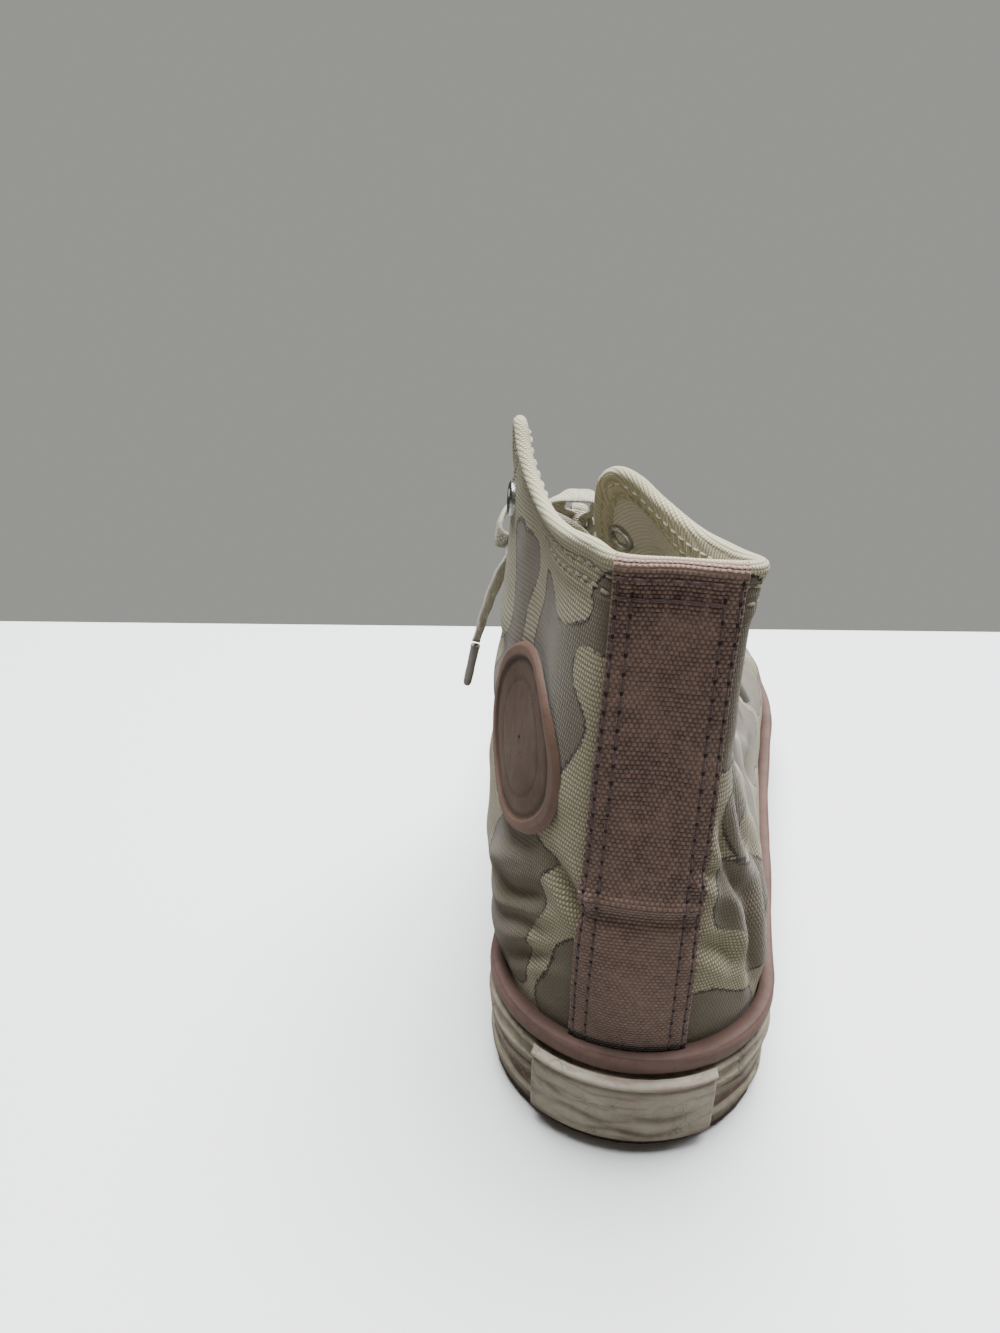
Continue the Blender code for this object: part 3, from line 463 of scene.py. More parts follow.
@dataclass(frozen=True)
class Blot:
    """Closed printed shape of the camouflage, by its outline in millimetres on the flat panel."""

    outline: tuple[tuple[float, float], ...]

    def distance(self, u: Grid, v: Grid) -> Grid:
        """Distance from the outline in millimetres, positive inside."""
        corners = np.array(self.outline, float)
        count = len(corners)
        rows = [(k, *corners[k % count]) for k in range(count)]
        smooth = SmoothTable(rows, period=float(count)).at(np.arange(count * 4) / 4)
        near = np.full(u.shape, 1e9)
        inside = np.zeros(u.shape, bool)
        for a, b in zip(smooth, np.roll(smooth, -1, axis=0)):
            run = b - a
            share = ((u - a[0]) * run[0] + (v - a[1]) * run[1]) / max(run @ run, 1e-9)
            share = np.clip(share, 0, 1)
            near = np.minimum(near, (u - a[0] - share * run[0]) ** 2 + (v - a[1] - share * run[1]) ** 2)
            crosses = (a[1] > v) != (b[1] > v)
            slope = run[0] / (run[1] if abs(run[1]) > 1e-9 else 1e-9)
            inside ^= crosses & (u < a[0] + (v - a[1]) * slope)
        return np.sqrt(near) * np.where(inside, 1, -1)


class Ink(Enum):
    """Colours of the printed canvas over its cream ground."""

    MAUVE = "mauve_ink"
    OLIVE = "olive_ink"
    SAND = "sand_ink"


CAMOUFLAGE: dict[Ink, tuple[Blot, ...]] = {
    Ink.MAUVE: (
        Blot(((-12, 122), (-20, 116), (-21, 108), (-33, 102), (-45, 108), (-52, 100), (-50, 84), (-56, 76),
              (-40, 62), (-28, 68), (-20, 78), (-17, 86), (-23, 94), (-21, 102), (-12, 104))),
        Blot(((-12, 32), (-19, 28), (-21, 18), (-26, 8), (-22, -4), (-12, -4))),
        Blot(((-62, 112), (-74, 118), (-82, 104), (-80, 88), (-92, 72), (-86, 62), (-74, 70), (-66, 88))),
        Blot(((-96, 52), (-112, 60), (-126, 50), (-140, 34), (-132, 20), (-112, 26), (-100, 34))),
        Blot(((-150, 66), (-170, 50), (-196, 30), (-190, 14), (-166, 22), (-146, 44), (-138, 60))),
        Blot(((-200, 60), (-222, 44), (-244, 40), (-240, 26), (-214, 24), (-198, 40))),
        Blot(((-250, 70), (-272, 52), (-290, 56), (-286, 74), (-262, 82))),
        Blot(((12, 122), (22, 118), (30, 104), (26, 88), (20, 80), (12, 84))),
        Blot(((20, 72), (34, 76), (44, 70), (40, 60), (30, 54), (22, 62))),
        Blot(((21, 56), (32, 52), (44, 46), (50, 30), (46, 14), (34, 16), (29, 24), (27, 35), (19, 40),
              (18, 48))),
        Blot(((12, 17), (18, 20), (26, 16), (36, 9), (38, -4), (12, -4))),
        Blot(((52, 112), (64, 120), (76, 108), (84, 88), (78, 74), (66, 82), (56, 96))),
        Blot(((90, 60), (108, 62), (128, 50), (146, 30), (132, 18), (112, 28), (96, 40))),
        Blot(((150, 70), (172, 54), (192, 34), (186, 16), (164, 22), (146, 42))),
        Blot(((202, 58), (224, 44), (246, 40), (240, 24), (216, 24), (200, 40))),
        Blot(((252, 72), (274, 54), (292, 60), (288, 76), (264, 84))),
    ),
    Ink.OLIVE: (
        Blot(((-30, 54), (-42, 60), (-56, 54), (-62, 38), (-50, 30), (-56, 16), (-48, 2), (-32, 4), (-29, 14),
              (-28, 28), (-24, 36), (-27, 44), (-22, 50))),
        Blot(((-104, 84), (-120, 74), (-126, 62), (-116, 58), (-102, 68))),
        Blot(((-160, 12), (-184, 4), (-204, 12), (-216, 4), (-206, -4), (-166, -4))),
        Blot(((56, 64), (72, 62), (84, 48), (78, 34), (64, 40), (54, 52))),
        Blot(((100, 94), (122, 78), (132, 64), (120, 60), (104, 74))),
        Blot(((158, 12), (182, 4), (202, 12), (214, 4), (206, -4), (164, -4))),
        Blot(((232, 64), (246, 56), (252, 62), (244, 74), (234, 74))),
    ),
    Ink.SAND: (
        Blot(((-60, 20), (-72, 26), (-90, 20), (-86, 6), (-70, 2), (-62, 8))),
        Blot(((-176, 74), (-192, 62), (-204, 66), (-198, 78), (-184, 84))),
        Blot(((62, 24), (76, 28), (92, 20), (86, 6), (70, 4), (60, 12))),
        Blot(((176, 76), (192, 64), (204, 68), (198, 80), (184, 86))),
    ),
}


class Drape:
    """Canvas surface with its creases: gives points for anything that lies on it."""

    def __init__(self, form: ShoeForm) -> None:
        """Keeps the form that the canvas lies on."""
        self.form = form
        self.hem_width = 0.011

    def relief(self, s: Grid, t: Grid) -> Grid:
        """Rise of the creased canvas over the true form, in metres."""
        u, v = self.form.panel(s, t)
        height = np.zeros(u.shape)
        for fold in FOLDS:
            height += fold.height(u, v)
        waves = 0.22 * np.sin(u / 9.0 + 1.4 * np.sin(v / 13.0)) * np.sin(v / 8.0 + 0.8 * np.sin(u / 17.0))
        waves += 0.12 * np.sin(u / 4.1 + 2.0 * np.sin(v / 7.0)) * np.sin(v / 5.3)
        calm = np.clip(v / 6.0, 0, 1) * np.clip((np.asarray(t) * -1 + 1) * 14, 0.15, 1)
        return (height + waves) * calm * MM

    def surface(self, s: Grid, t: Grid, lift: Grid | float = 0.0) -> Grid:
        """Points on the creased canvas, raised by lift along its normal."""
        s, t = np.broadcast_arrays(np.asarray(s, float), np.asarray(t, float))
        rise = self.relief(s, t) + lift
        return self.form.point(s, t) + self.form.normal(s, t) * rise[..., None]

    def hem(self, s: Grid, t: Grid) -> Grid:
        """Step of the turned hem, soft at its lower edge, and its padded roll at the edge."""
        down = (1 - t) * self.form.rib_length(s)
        step = self.form.hem_step / (1 + np.exp((down - self.hem_width) / 0.0004))
        sewn = sum(bell(down, row, 0.0007) for row in HEM_ROWS)
        return step + 0.0006 * np.exp(-((down / 0.0024) ** 2)) - 0.0004 * sewn


def hex_to_linear(code: str) -> tuple[float, float, float, float]:
    """Linear colour with alpha of an sRGB hex code such as #a0b0c0."""
    parts = [int(code[k : k + 2], 16) / 255 for k in (1, 3, 5)]
    linear = [part / 12.92 if part <= 0.04045 else ((part + 0.055) / 1.055) ** 2.4 for part in parts]
    return (*linear, 1.0)


def wire(node: Node, inputs: dict) -> Node:
    """Sets a node's properties and inputs, and links those inputs whose value is a node or an output.

    Args:
        node: Node of a material or of the world.
        inputs: Values by the name of a property, or by the name or number of an input, colours as hex codes.

    Returns:
        The node.
    """
    for key, value in inputs.items():
        if isinstance(value, bpy.types.Node):
            is_colour_mix = value.bl_idname == "ShaderNodeMix" and value.data_type == "RGBA"
            value = value.outputs[2 if is_colour_mix else 0]
        if isinstance(value, bpy.types.NodeSocket):
            node.id_data.links.new(value, node.inputs[key])
        elif isinstance(key, str) and hasattr(node, key):
            setattr(node, key, value)
        else:
            node.inputs[key].default_value = hex_to_linear(value) if isinstance(value, str) else value
    return node


def add_node(tree: bpy.types.NodeTree, kind: str, inputs: dict | None = None) -> Node:
    """Adds a node and wires its inputs.

    Args:
        tree: Node tree of a material or of the world.
        kind: Type of the node without its leading ShaderNode, then, after a dot, its operation or data type.
        inputs: What wire takes.

    Returns:
        The node.
    """
    kind, _, option = kind.partition(".")
    node = tree.nodes.new("ShaderNode" + kind)
    if option:
        setattr(node, "data_type" if kind == "Mix" else "operation", option)
    return wire(node, inputs or {})


def new_material(name: str) -> tuple[bpy.types.Material, Callable[..., Node], Node]:
    """Material with its Principled shader, and a short form of add_node for its tree."""
    made = bpy.data.materials.new(name)
    made.use_nodes = True
    return made, partial(add_node, made.node_tree), made.node_tree.nodes["Principled BSDF"]


@dataclass(frozen=True)
class PrintedCanvas:
    """Cotton canvas, woven with heavy ribs and printed: a dry cloth whose ribs catch the light, with painted
    shade between them, flatter inked patches that have ragged dark edges, dirt at its foot and painted shade
    in its folds."""

    name: str = "cotton_canvas_printed"
    ground: str = "#dad3b4"
    ground_dark: str = "#93896a"
    mauve: str = "#7b7260"
    olive: str = "#756a56"
    sand: str = "#b5a57e"
    outline: str = "#33261d"
    soil: str = "#54472f"
    rib_mm: float = 1.1
    thread_mm: float = 0.8
    printed: bool = True

    def build(self) -> bpy.types.Material:
        """Makes the material."""
        made, add, shader = new_material(self.name)
        place = add("UVMap", {"uv_map": "panel"})
        ragged = add("TexNoise", {"Scale": 0.9, "Detail": 3.0, "Roughness": 0.6, "Vector": place})
        wobble = add("VectorMath.MULTIPLY_ADD", {0: ragged.outputs["Color"], 1: (0.35,) * 3, 2: place})
        split = add("SeparateXYZ", {0: wobble})
        # Heavy ribs run round the shoe, with threads crossing them.
        across = add("Math.MULTIPLY", {0: split.outputs["Y"], 1: math.pi / self.rib_mm})
        rib = add("Math.SINE", {0: across})
        rib_up = add("Math.ABSOLUTE", {0: rib})
        row = add("Math.DIVIDE", {0: split.outputs["Y"], 1: self.rib_mm})
        row_number = add("Math.FLOOR", {0: row})
        shifted = add("Math.MULTIPLY_ADD", {0: row_number, 1: self.thread_mm / 2, 2: split.outputs["X"]})
        thread_turn = add("Math.MULTIPLY", {0: shifted, 1: math.pi / self.thread_mm})
        thread = add("Math.SINE", {0: thread_turn})
        thread_up = add("Math.ABSOLUTE", {0: thread})
        sharp = add("Math.MULTIPLY", {0: rib_up, 1: thread_up})
        rubbed_edge = add("Attribute", {"attribute_name": "wear"})
        weave = add("Mix.FLOAT", {0: rubbed_edge.outputs["Fac"], 2: sharp, 3: 0.85})
        # Painted shade between the ribs and threads, with the ground's own colour on their tops.
        ground = add("Mix.RGBA", {0: weave, 6: self.ground_dark, 7: self.ground})
        colour = ground
        covered = None
        edges = None
        if self.printed:
            for ink, code in ((Ink.SAND, self.sand), (Ink.OLIVE, self.olive), (Ink.MAUVE, self.mauve)):
                reach = add("Attribute", {"attribute_name": ink.value})
                torn = add("Math.MULTIPLY_ADD", {0: ragged.outputs["Fac"], 1: 2.6, 2: reach.outputs["Fac"]})
                mask = add("MapRange", {"From Min": 1.05, "From Max": 1.55,
                                        "interpolation_type": "SMOOTHSTEP", "Value": torn})
                colour = add("Mix.RGBA", {0: mask, 6: colour, 7: code})
                off = add("Math.SUBTRACT", {0: torn, 1: 1.3})
                away = add("Math.ABSOLUTE", {0: off})
                line = add("MapRange", {"From Min": 0.52, "From Max": 0.2, "Value": away})
                covered = mask if covered is None else add("Math.MAXIMUM", {0: covered, 1: mask})
                edges = line if edges is None else add("Math.MAXIMUM", {0: edges, 1: line})
            kept = add("TexNoise", {"Scale": 0.045, "Detail": 3.0, "Vector": place})
            there = add("MapRange", {"From Min": 0.36, "From Max": 0.42, "Value": kept})
            drawn = add("Math.MULTIPLY", {0: edges, 1: there})
            # The ink lies in the ribs; over it the weave is painted in light and shade, darker between the
            # ribs and a little lighter on their tops, so the cloth still shows faintly through it.
            wear_and_weave_shade = add("MapRange", {"To Min": 0.84, "To Max": 1.04, "Value": weave})
            colour = add("Mix.RGBA", {"blend_type": "MULTIPLY", 0: 1.0, 6: colour, 7: wear_and_weave_shade})
            colour = add("Mix.RGBA", {0: drawn, 6: colour, 7: self.outline})
        cloud = add("TexNoise", {"Scale": 0.05, "Detail": 6.0, "Roughness": 0.65, "Vector": place})
        # Dirt, and painted shade in folds and grooves, from a mark on each point, broken up by a cloud.
        grime_and_shade = add("Attribute", {"attribute_name": "soil"})
        dirt_and_shade = add("Math.MULTIPLY", {0: cloud, 1: grime_and_shade.outputs["Fac"]})
        colour = add("Mix.RGBA", {0: dirt_and_shade, 6: colour, 7: self.soil})
        fuzz = add("TexNoise", {"Scale": 3.0, "Detail": 2.0, "Vector": place})
        height = weave
        if covered is not None:
            flat = add("MapRange", {"To Min": 1.0, "To Max": 0.5, "Value": covered})
            height = add("Math.MULTIPLY", {0: weave, 1: flat})
        rough = add("Math.MULTIPLY_ADD", {0: fuzz, 1: 0.4, 2: height})
        bump = add("Bump", {"Strength": 0.8, "Distance": 0.0004, "Height": rough})
        wire(shader, {"Base Color": colour, "Normal": bump, "Roughness": 0.93, "Specular IOR Level": 0.25,
                      "Sheen Weight": 0.25, "Sheen Roughness": 0.5})
        return made


@dataclass(frozen=True)
class HeavyWeave:
    """Cotton duck tape or braid, plain-woven and dyed: staggered rows of round knuckles, painted light on
    their tops and with painted shade in the dark pits between them, no two of one tone, faded on its raised
    parts."""

    name: str
    light: str
    dark: str
    faded: str
    row_mm: float = 1.0
    knuckle_mm: float = 1.1
    strength: float = 0.9
    worn: float = 0.5

    def build(self) -> bpy.types.Material:
        """Makes the material."""
        made, add, shader = new_material(self.name)
        place = add("UVMap", {"uv_map": "panel"})
        drift = add("TexNoise", {"Scale": 0.6, "Detail": 2.0, "Vector": place})
        wobble = add("VectorMath.MULTIPLY_ADD", {0: drift.outputs["Color"], 1: (0.25,) * 3, 2: place})
        split = add("SeparateXYZ", {0: wobble})
        turn_y = add("Math.MULTIPLY", {0: split.outputs["Y"], 1: math.pi / self.row_mm})
        wave_y = add("Math.SINE", {0: turn_y})
        row = add("Math.DIVIDE", {0: split.outputs["Y"], 1: self.row_mm})
        row_number = add("Math.FLOOR", {0: row})
        # Each row is set half a knuckle aside from the row below it.
        shifted = add("Math.MULTIPLY_ADD", {0: row_number, 1: self.knuckle_mm / 2, 2: split.outputs["X"]})
        turn_x = add("Math.MULTIPLY", {0: shifted, 1: math.pi / self.knuckle_mm})
        wave_x = add("Math.SINE", {0: turn_x})
        knuckle = add("Math.MULTIPLY", {0: wave_x, 1: wave_y})
        swell = add("Math.ABSOLUTE", {0: knuckle})
        height = add("Math.POWER", {0: swell, 1: 0.7})
        column = add("Math.DIVIDE", {0: shifted, 1: self.knuckle_mm})
        column_number = add("Math.FLOOR", {0: column})
        cell = add("CombineXYZ", {"X": column_number, "Y": row_number})
        chance = add("TexWhiteNoise", {"Vector": cell})
        uneven = add("Math.MULTIPLY_ADD", {0: chance.outputs["Value"], 1: 0.45, 2: height})
        # Painted light and shade of the weave: lighter on the knuckles' tops, darker in the pits between
        # them.
        lit = add("MapRange", {"From Min": 0.1, "From Max": 1.25, "Value": uneven})
        colour = add("Mix.RGBA", {0: lit, 6: self.dark, 7: self.light})
        cloud = add("TexNoise", {"Scale": 0.07, "Detail": 5.0, "Roughness": 0.7, "Vector": place})
        thinned = add("MapRange", {"From Min": 0.42, "From Max": 0.75, "To Max": self.worn, "Value": cloud})
        wear_and_weave_shade = add("Attribute", {"attribute_name": "wear"})
        thin = add("Math.ADD", {"use_clamp": True, 0: thinned, 1: wear_and_weave_shade.outputs["Fac"]})
        colour = add("Mix.RGBA", {0: thin, 6: colour, 7: self.faded})
        # Dirt, and painted shade in folds and grooves, from a mark on each point.
        grime_and_shade = add("Attribute", {"attribute_name": "soil"})
        colour = add("Mix.RGBA", {"blend_type": "MULTIPLY", 0: grime_and_shade.outputs["Fac"], 6: colour,
                                  7: "#4a4038"})
        bump = add("Bump", {"Strength": self.strength, "Distance": 0.0005, "Height": uneven})
        wire(shader, {"Base Color": colour, "Normal": bump, "Roughness": 0.95, "Specular IOR Level": 0.2,
                      "Sheen Weight": 0.3})
        return made


@dataclass(frozen=True)
class CuredRubber:
    """Natural rubber, moulded and vulcanised: matt, a little waxy, with fine crazing, scuffs, dirt in
    patches, and darkening in its low places that is partly dirt and partly painted shade."""

    name: str
    colour: str
    stripe: str = ""
    stripe_low: float = 0.0
    stripe_high: float = 0.0
    grime_and_shade: str = "#4b4236"
    amount: float = 0.55
    crack_mm: float = 5.0
    crack: float = 0.6
    roughness: float = 0.62
    peeled: str = ""

    def build(self) -> bpy.types.Material:
        """Makes the material."""
        made, add, shader = new_material(self.name)
        place = add("UVMap", {"uv_map": "panel"})
        solid = add("TexCoord").outputs["Object"]
        colour: Node | str = self.colour
        if self.stripe:
            split = add("SeparateXYZ", {0: place})
            unsteady = add("TexNoise", {"Scale": 0.12, "Detail": 3.0, "Vector": place})
            height = add("Math.MULTIPLY_ADD", {0: unsteady, 1: 0.5, 2: split.outputs["Y"]})
            above = add("MapRange", {"From Min": self.stripe_low, "From Max": self.stripe_low + 0.35,
                                     "Value": height})
            below = add("MapRange", {"From Min": self.stripe_high, "From Max": self.stripe_high - 0.35,
                                     "Value": height})
            band = add("Math.MULTIPLY", {0: above, 1: below})
            wear_and_weave_shade = add("TexNoise", {"Scale": 90.0, "Detail": 6.0, "Roughness": 0.7, "Vector": solid})
            whole = add("MapRange", {"From Min": 0.38, "From Max": 0.5, "To Min": 0.35, "Value": wear_and_weave_shade})
            shown = add("Math.MULTIPLY", {0: band, 1: whole})
            colour = add("Mix.RGBA", {0: shown, 6: colour, 7: self.stripe})
        if self.peeled:
            # The thin outer coat has come off in long patches that run round the sole.
            drawn_out = add("VectorMath.MULTIPLY", {0: place, 1: (0.05, 0.28, 0.28)})
            coat = add("TexNoise", {"Scale": 1.0, "Detail": 6.0, "Roughness": 0.6, "Vector": drawn_out})
            lost = add("MapRange", {"From Min": 0.54, "From Max": 0.57, "To Max": 0.7, "Value": coat})
            colour = add("Mix.RGBA", {0: lost, 6: colour, 7: self.peeled})
            rim_of_coat = add("MapRange", {"From Min": 0.51, "From Max": 0.54, "To Max": 0.28,
                                           "Value": coat})
            edge_only = add("Math.SUBTRACT", {"use_clamp": True, 0: rim_of_coat, 1: lost})
            colour = add("Mix.RGBA", {0: edge_only, 6: colour, 7: self.grime_and_shade})
        patchy = add("TexNoise", {"Scale": 60.0, "Detail": 8.0, "Roughness": 0.72, "Vector": solid})
        dulled = add("MapRange", {"From Min": 0.42, "From Max": 0.72, "To Max": self.amount,
                                  "Value": patchy})
        # Dirt and painted shade in the low places, from a mark on each point, added to the patches.
        low = add("Attribute", {"attribute_name": "soil"})
        dirt_and_shade = add("Math.ADD", {"use_clamp": True, 0: dulled, 1: low.outputs["Fac"]})
        colour = add("Mix.RGBA", {0: dirt_and_shade, 6: colour, 7: self.grime_and_shade})
        # Crazing of aged rubber, a few millimetres from crack to crack.
        crazed = add("TexVoronoi", {"feature": "DISTANCE_TO_EDGE", "Scale": 1 / (self.crack_mm * MM),
                                    "Vector": solid})
        fine = add("MapRange", {"From Min": 0.0, "From Max": 0.05, "To Min": 1.0, "To Max": 0.0,
                                "Value": crazed})
        some = add("TexNoise", {"Scale": 110.0, "Detail": 3.0, "Vector": solid})
        where = add("MapRange", {"From Min": 0.5, "From Max": 0.62, "To Max": self.crack, "Value": some})
        cracks = add("Math.MULTIPLY", {0: fine, 1: where})
        colour = add("Mix.RGBA", {0: cracks, 6: colour, 7: "#2b231c"})
        gloss = add("MapRange", {"To Min": self.roughness, "To Max": 0.9, "Value": dirt_and_shade})
        pores = add("TexNoise", {"Scale": 900.0, "Detail": 3.0, "Vector": solid})
        worn = add("Math.MULTIPLY_ADD", {0: cracks, 1: -1.5, 2: pores})
        bump = add("Bump", {"Strength": 0.35, "Distance": 0.0003, "Height": worn})
        wire(shader, {"Base Color": colour, "Normal": bump, "Roughness": gloss, "IOR": 1.52})
        return made


@dataclass(frozen=True)
class PlatedBrass:
    """Brass, pressed and nickel-plated: bright and smooth with dull tarnished spots."""

    name: str = "brass_nickel_plated"
    bright: str = "#c9cac6"
    tarnish: str = "#6f6a5f"

    def build(self) -> bpy.types.Material:
        """Makes the material."""
        made, add, shader = new_material(self.name)
        solid = add("TexCoord").outputs["Object"]
        spots = add("TexNoise", {"Scale": 420.0, "Detail": 5.0, "Roughness": 0.7, "Vector": solid})
        dull = add("MapRange", {"From Min": 0.45, "From Max": 0.7, "To Max": 0.8, "Value": spots})
        colour = add("Mix.RGBA", {0: dull, 6: self.bright, 7: self.tarnish})
        gloss = add("MapRange", {"To Min": 0.22, "To Max": 0.55, "Value": dull})
        wire(shader, {"Base Color": colour, "Roughness": gloss, "Metallic": 1.0})
        return made


@dataclass(frozen=True)
class StudioPaint:
    """Matt painted surface of the studio: even, with a faint cloudiness."""

    name: str
    colour: str
    roughness: float = 0.7
    shaded: str = ""

    def build(self) -> bpy.types.Material:
        """Makes the material."""
        made, add, shader = new_material(self.name)
        solid = add("TexCoord").outputs["Object"]
        cloud = add("TexNoise", {"Scale": 3.0, "Detail": 2.0, "Vector": solid})
        tone = add("MapRange", {"To Min": 0.97, "To Max": 1.03, "Value": cloud})
        # A floor is darker for the light it throws back, so that it does not light the shoe from below.
        seen = add("LightPath")
        paint = add("Mix.RGBA", {0: seen.outputs["Is Camera Ray"], 6: self.shaded or self.colour,
                                 7: self.colour})
        colour = add("Mix.RGBA", {"blend_type": "MULTIPLY", 0: 1.0, 6: paint, 7: tone})
        wire(shader, {"Base Color": colour, "Roughness": self.roughness})
        return made


class Finishes:
    """Every material of the shoe, made once."""

    def __init__(self) -> None:
        """Makes the materials."""
        self.canvas = PrintedCanvas().build()
        self.lining = PrintedCanvas(name="cotton_twill_lining", ground="#f0ecdc", ground_dark="#c2baa6",
                                    printed=False, rib_mm=1.1).build()
        self.strip = HeavyWeave("cotton_duck_strip", "#9c7e71", "#382823", "#a78b7b").build()
        self.lace = HeavyWeave("cotton_braid_flat", "#dcd7c3", "#a8a189", "#c4bca3", row_mm=0.6,
                               knuckle_mm=0.7, strength=0.6).build()
        self.thread = HeavyWeave("cotton_thread_spun", "#cbc4ae", "#8b836f", "#b5ad96", row_mm=0.6,
                                 knuckle_mm=0.6, strength=0.3).build()
        self.strip_thread = HeavyWeave("cotton_thread_dyed", "#77615e", "#4c3b39", "#857170", row_mm=0.6,
                                       knuckle_mm=0.6, strength=0.3).build()
        self.hole = StudioPaint("needle_hole_shade", "#1d1513").build()
        self.foxing = CuredRubber("rubber_foxing_moulded", "#beb39d", "#75584c", 5.2, 9.4, amount=0.6,
                                  peeled="#a08779").build()
        self.piping = CuredRubber("rubber_piping_extruded", "#775a50", grime_and_shade="#40302a", amount=0.35,
                                  crack=0.2, roughness=0.5).build()
        self.label = CuredRubber("rubber_plate_moulded", "#cbc1b0", grime_and_shade="#6a5a48", amount=0.5,
                                 crack_mm=4.0, crack=0.35, peeled="#ab9386").build()
        self.cap = CuredRubber("rubber_cap_moulded", "#c6bda8", amount=0.4, crack=0.3).build()
        self.outsole = CuredRubber("rubber_outsole_pressed", "#5d4a41", grime_and_shade="#2c241e", amount=0.7,
                                   crack=0.3, roughness=0.75).build()
        self.disc = CuredRubber("rubber_disc_moulded", "#5f4838", grime_and_shade="#45342a", amount=0.5,
                                crack_mm=2.5, crack=0.5).build()
        self.rim = CuredRubber("rubber_rim_moulded", "#7b5f50", grime_and_shade="#5a453c", amount=0.35,
                               crack=0.2).build()
        self.metal = PlatedBrass().build()
        self.aglet = CuredRubber("acetate_aglet_crimped", "#8e8b84", grime_and_shade="#5a564e", amount=0.4,
                                 crack=0.0, roughness=0.3).build()


def link(obj: bpy.types.Object) -> bpy.types.Object:
    """Puts an object in the scene."""
    bpy.context.scene.collection.objects.link(obj)
    return obj


class Fabricator:
    def piece(self, name: str, points: Grid, faces: list, material: bpy.types.Material, slot: str,
              replaces: tuple[str, ...] = (), uv: Grid | None = None, marks: dict | None = None,
              loop_uv: Grid | None = None, smooth: bool = True) -> bpy.types.Object:
        """Makes one mesh piece that rides on the shoe.

        Args:
            name: Name of the piece.
            points: Places of its points.
            faces: Point numbers of its faces.
            material: Its finish.
            slot: Material slot of the record, not used.
            replaces: Nodes of the part that it stands for.
            uv: Flat place of each point, in millimetres.
            marks: Values of each point by name, such as the mark of dirt and painted shade.
            loop_uv: Flat place of each face corner, in place of uv.
            smooth: Whether its faces are shaded smooth.

        Returns:
            The object.
        """
        mesh = bpy.data.meshes.new(name)
        mesh.from_pydata(np.asarray(points).tolist(), [], [list(face) for face in faces])
        corners = np.zeros(len(mesh.loops), np.int32)
        mesh.loops.foreach_get("vertex_index", corners)
        layer = mesh.uv_layers.new(name="panel")
        if loop_uv is None:
            flat = np.asarray(points)[:, :2] / MM if uv is None else np.asarray(uv)
            loop_uv = flat[corners]
        layer.data.foreach_set("uv", np.ascontiguousarray(loop_uv, np.float32).ravel())
        values = {"soil": np.zeros(len(mesh.vertices)), "wear": np.zeros(len(mesh.vertices))}
        values.update(marks or {})
        for mark, numbers in values.items():
            attribute = mesh.attributes.new(mark, "FLOAT", "POINT")
            attribute.data.foreach_set("value", np.ascontiguousarray(numbers, np.float32).ravel())
        if smooth:
            mesh.shade_smooth()
        mesh.materials.append(material)
        obj = link(bpy.data.objects.new(name, mesh))
        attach(obj, "root")
        if replaces:
            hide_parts(*replaces)
        LOG.info("%s: %d faces", name, len(mesh.polygons))
        return obj

    def sheet(self, name: str, grid: Grid, material: bpy.types.Material, slot: str, wrap: bool = False,
              flat: Grid | None = None, marks: dict | None = None, flip: bool = False,
              replaces: tuple[str, ...] = ()) -> bpy.types.Object:
        """Makes a piece from a grid of points in rows.

        Args:
            name: Name of the piece.
            grid: Points by row and column.
            material: Its finish.
            slot: Material slot of the record, passed on to piece, which does not use it.
            wrap: Whether the last column joins the first.
            flat: Flat places in millimetres, by row and column; one more column when wrapped.
            marks: Values by name, by row and column, or of rows only as one column.
            flip: Whether the faces turn the other way.
            replaces: Nodes of the part that it stands for.

        Returns:
            The object.
        """
        rows, columns = grid.shape[:2]
        last = columns if wrap else columns - 1
        low = np.arange(rows - 1)[:, None] * columns + np.arange(last)[None, :]
        right = np.arange(rows - 1)[:, None] * columns + (np.arange(last)[None, :] + 1) % columns
        faces = np.stack([low, right, right + columns, low + columns], axis=-1).reshape(-1, 4)
        loop_uv = None
        if flat is not None:
            near = flat[:-1, :last]
            far = flat[:-1, 1 : last + 1]
            far_up = flat[1:, 1 : last + 1]
            near_up = flat[1:, :last]
            loop_uv = np.stack([near, far, far_up, near_up], axis=2).reshape(-1, 4, 2)
        if flip:
            faces = faces[:, ::-1]
            loop_uv = None if loop_uv is None else loop_uv[:, ::-1]
        values = {}
        for mark, numbers in (marks or {}).items():
            values[mark] = np.broadcast_to(numbers, (rows, columns)).reshape(-1)
        return self.piece(name, grid.reshape(-1, 3), faces.tolist(), material, slot, replaces, marks=values,
                          loop_uv=None if loop_uv is None else loop_uv.reshape(-1, 2))


def tube_faces(start: int, rings: int, spokes: int) -> list[tuple[int, ...]]:
    """Faces of a closed tube whose points are numbered from start, ring by ring, with filled ends."""
    faces = []
    for ring in range(rings - 1):
        for spoke in range(spokes):
            a, b = start + ring * spokes + spoke, start + ring * spokes + (spoke + 1) % spokes
            faces.append((a, b, b + spokes, a + spokes))
    faces.append(tuple(range(start + spokes - 1, start - 1, -1)))
    faces.append(tuple(range(start + (rings - 1) * spokes, start + rings * spokes)))
    return faces


def cosine_rows(count: int) -> Grid:
    """Shares from 0 to 1, closer together at both ends."""
    even = np.linspace(0, 1, count)
    return 0.5 * even + 0.5 * (0.5 - 0.5 * np.cos(math.pi * even))


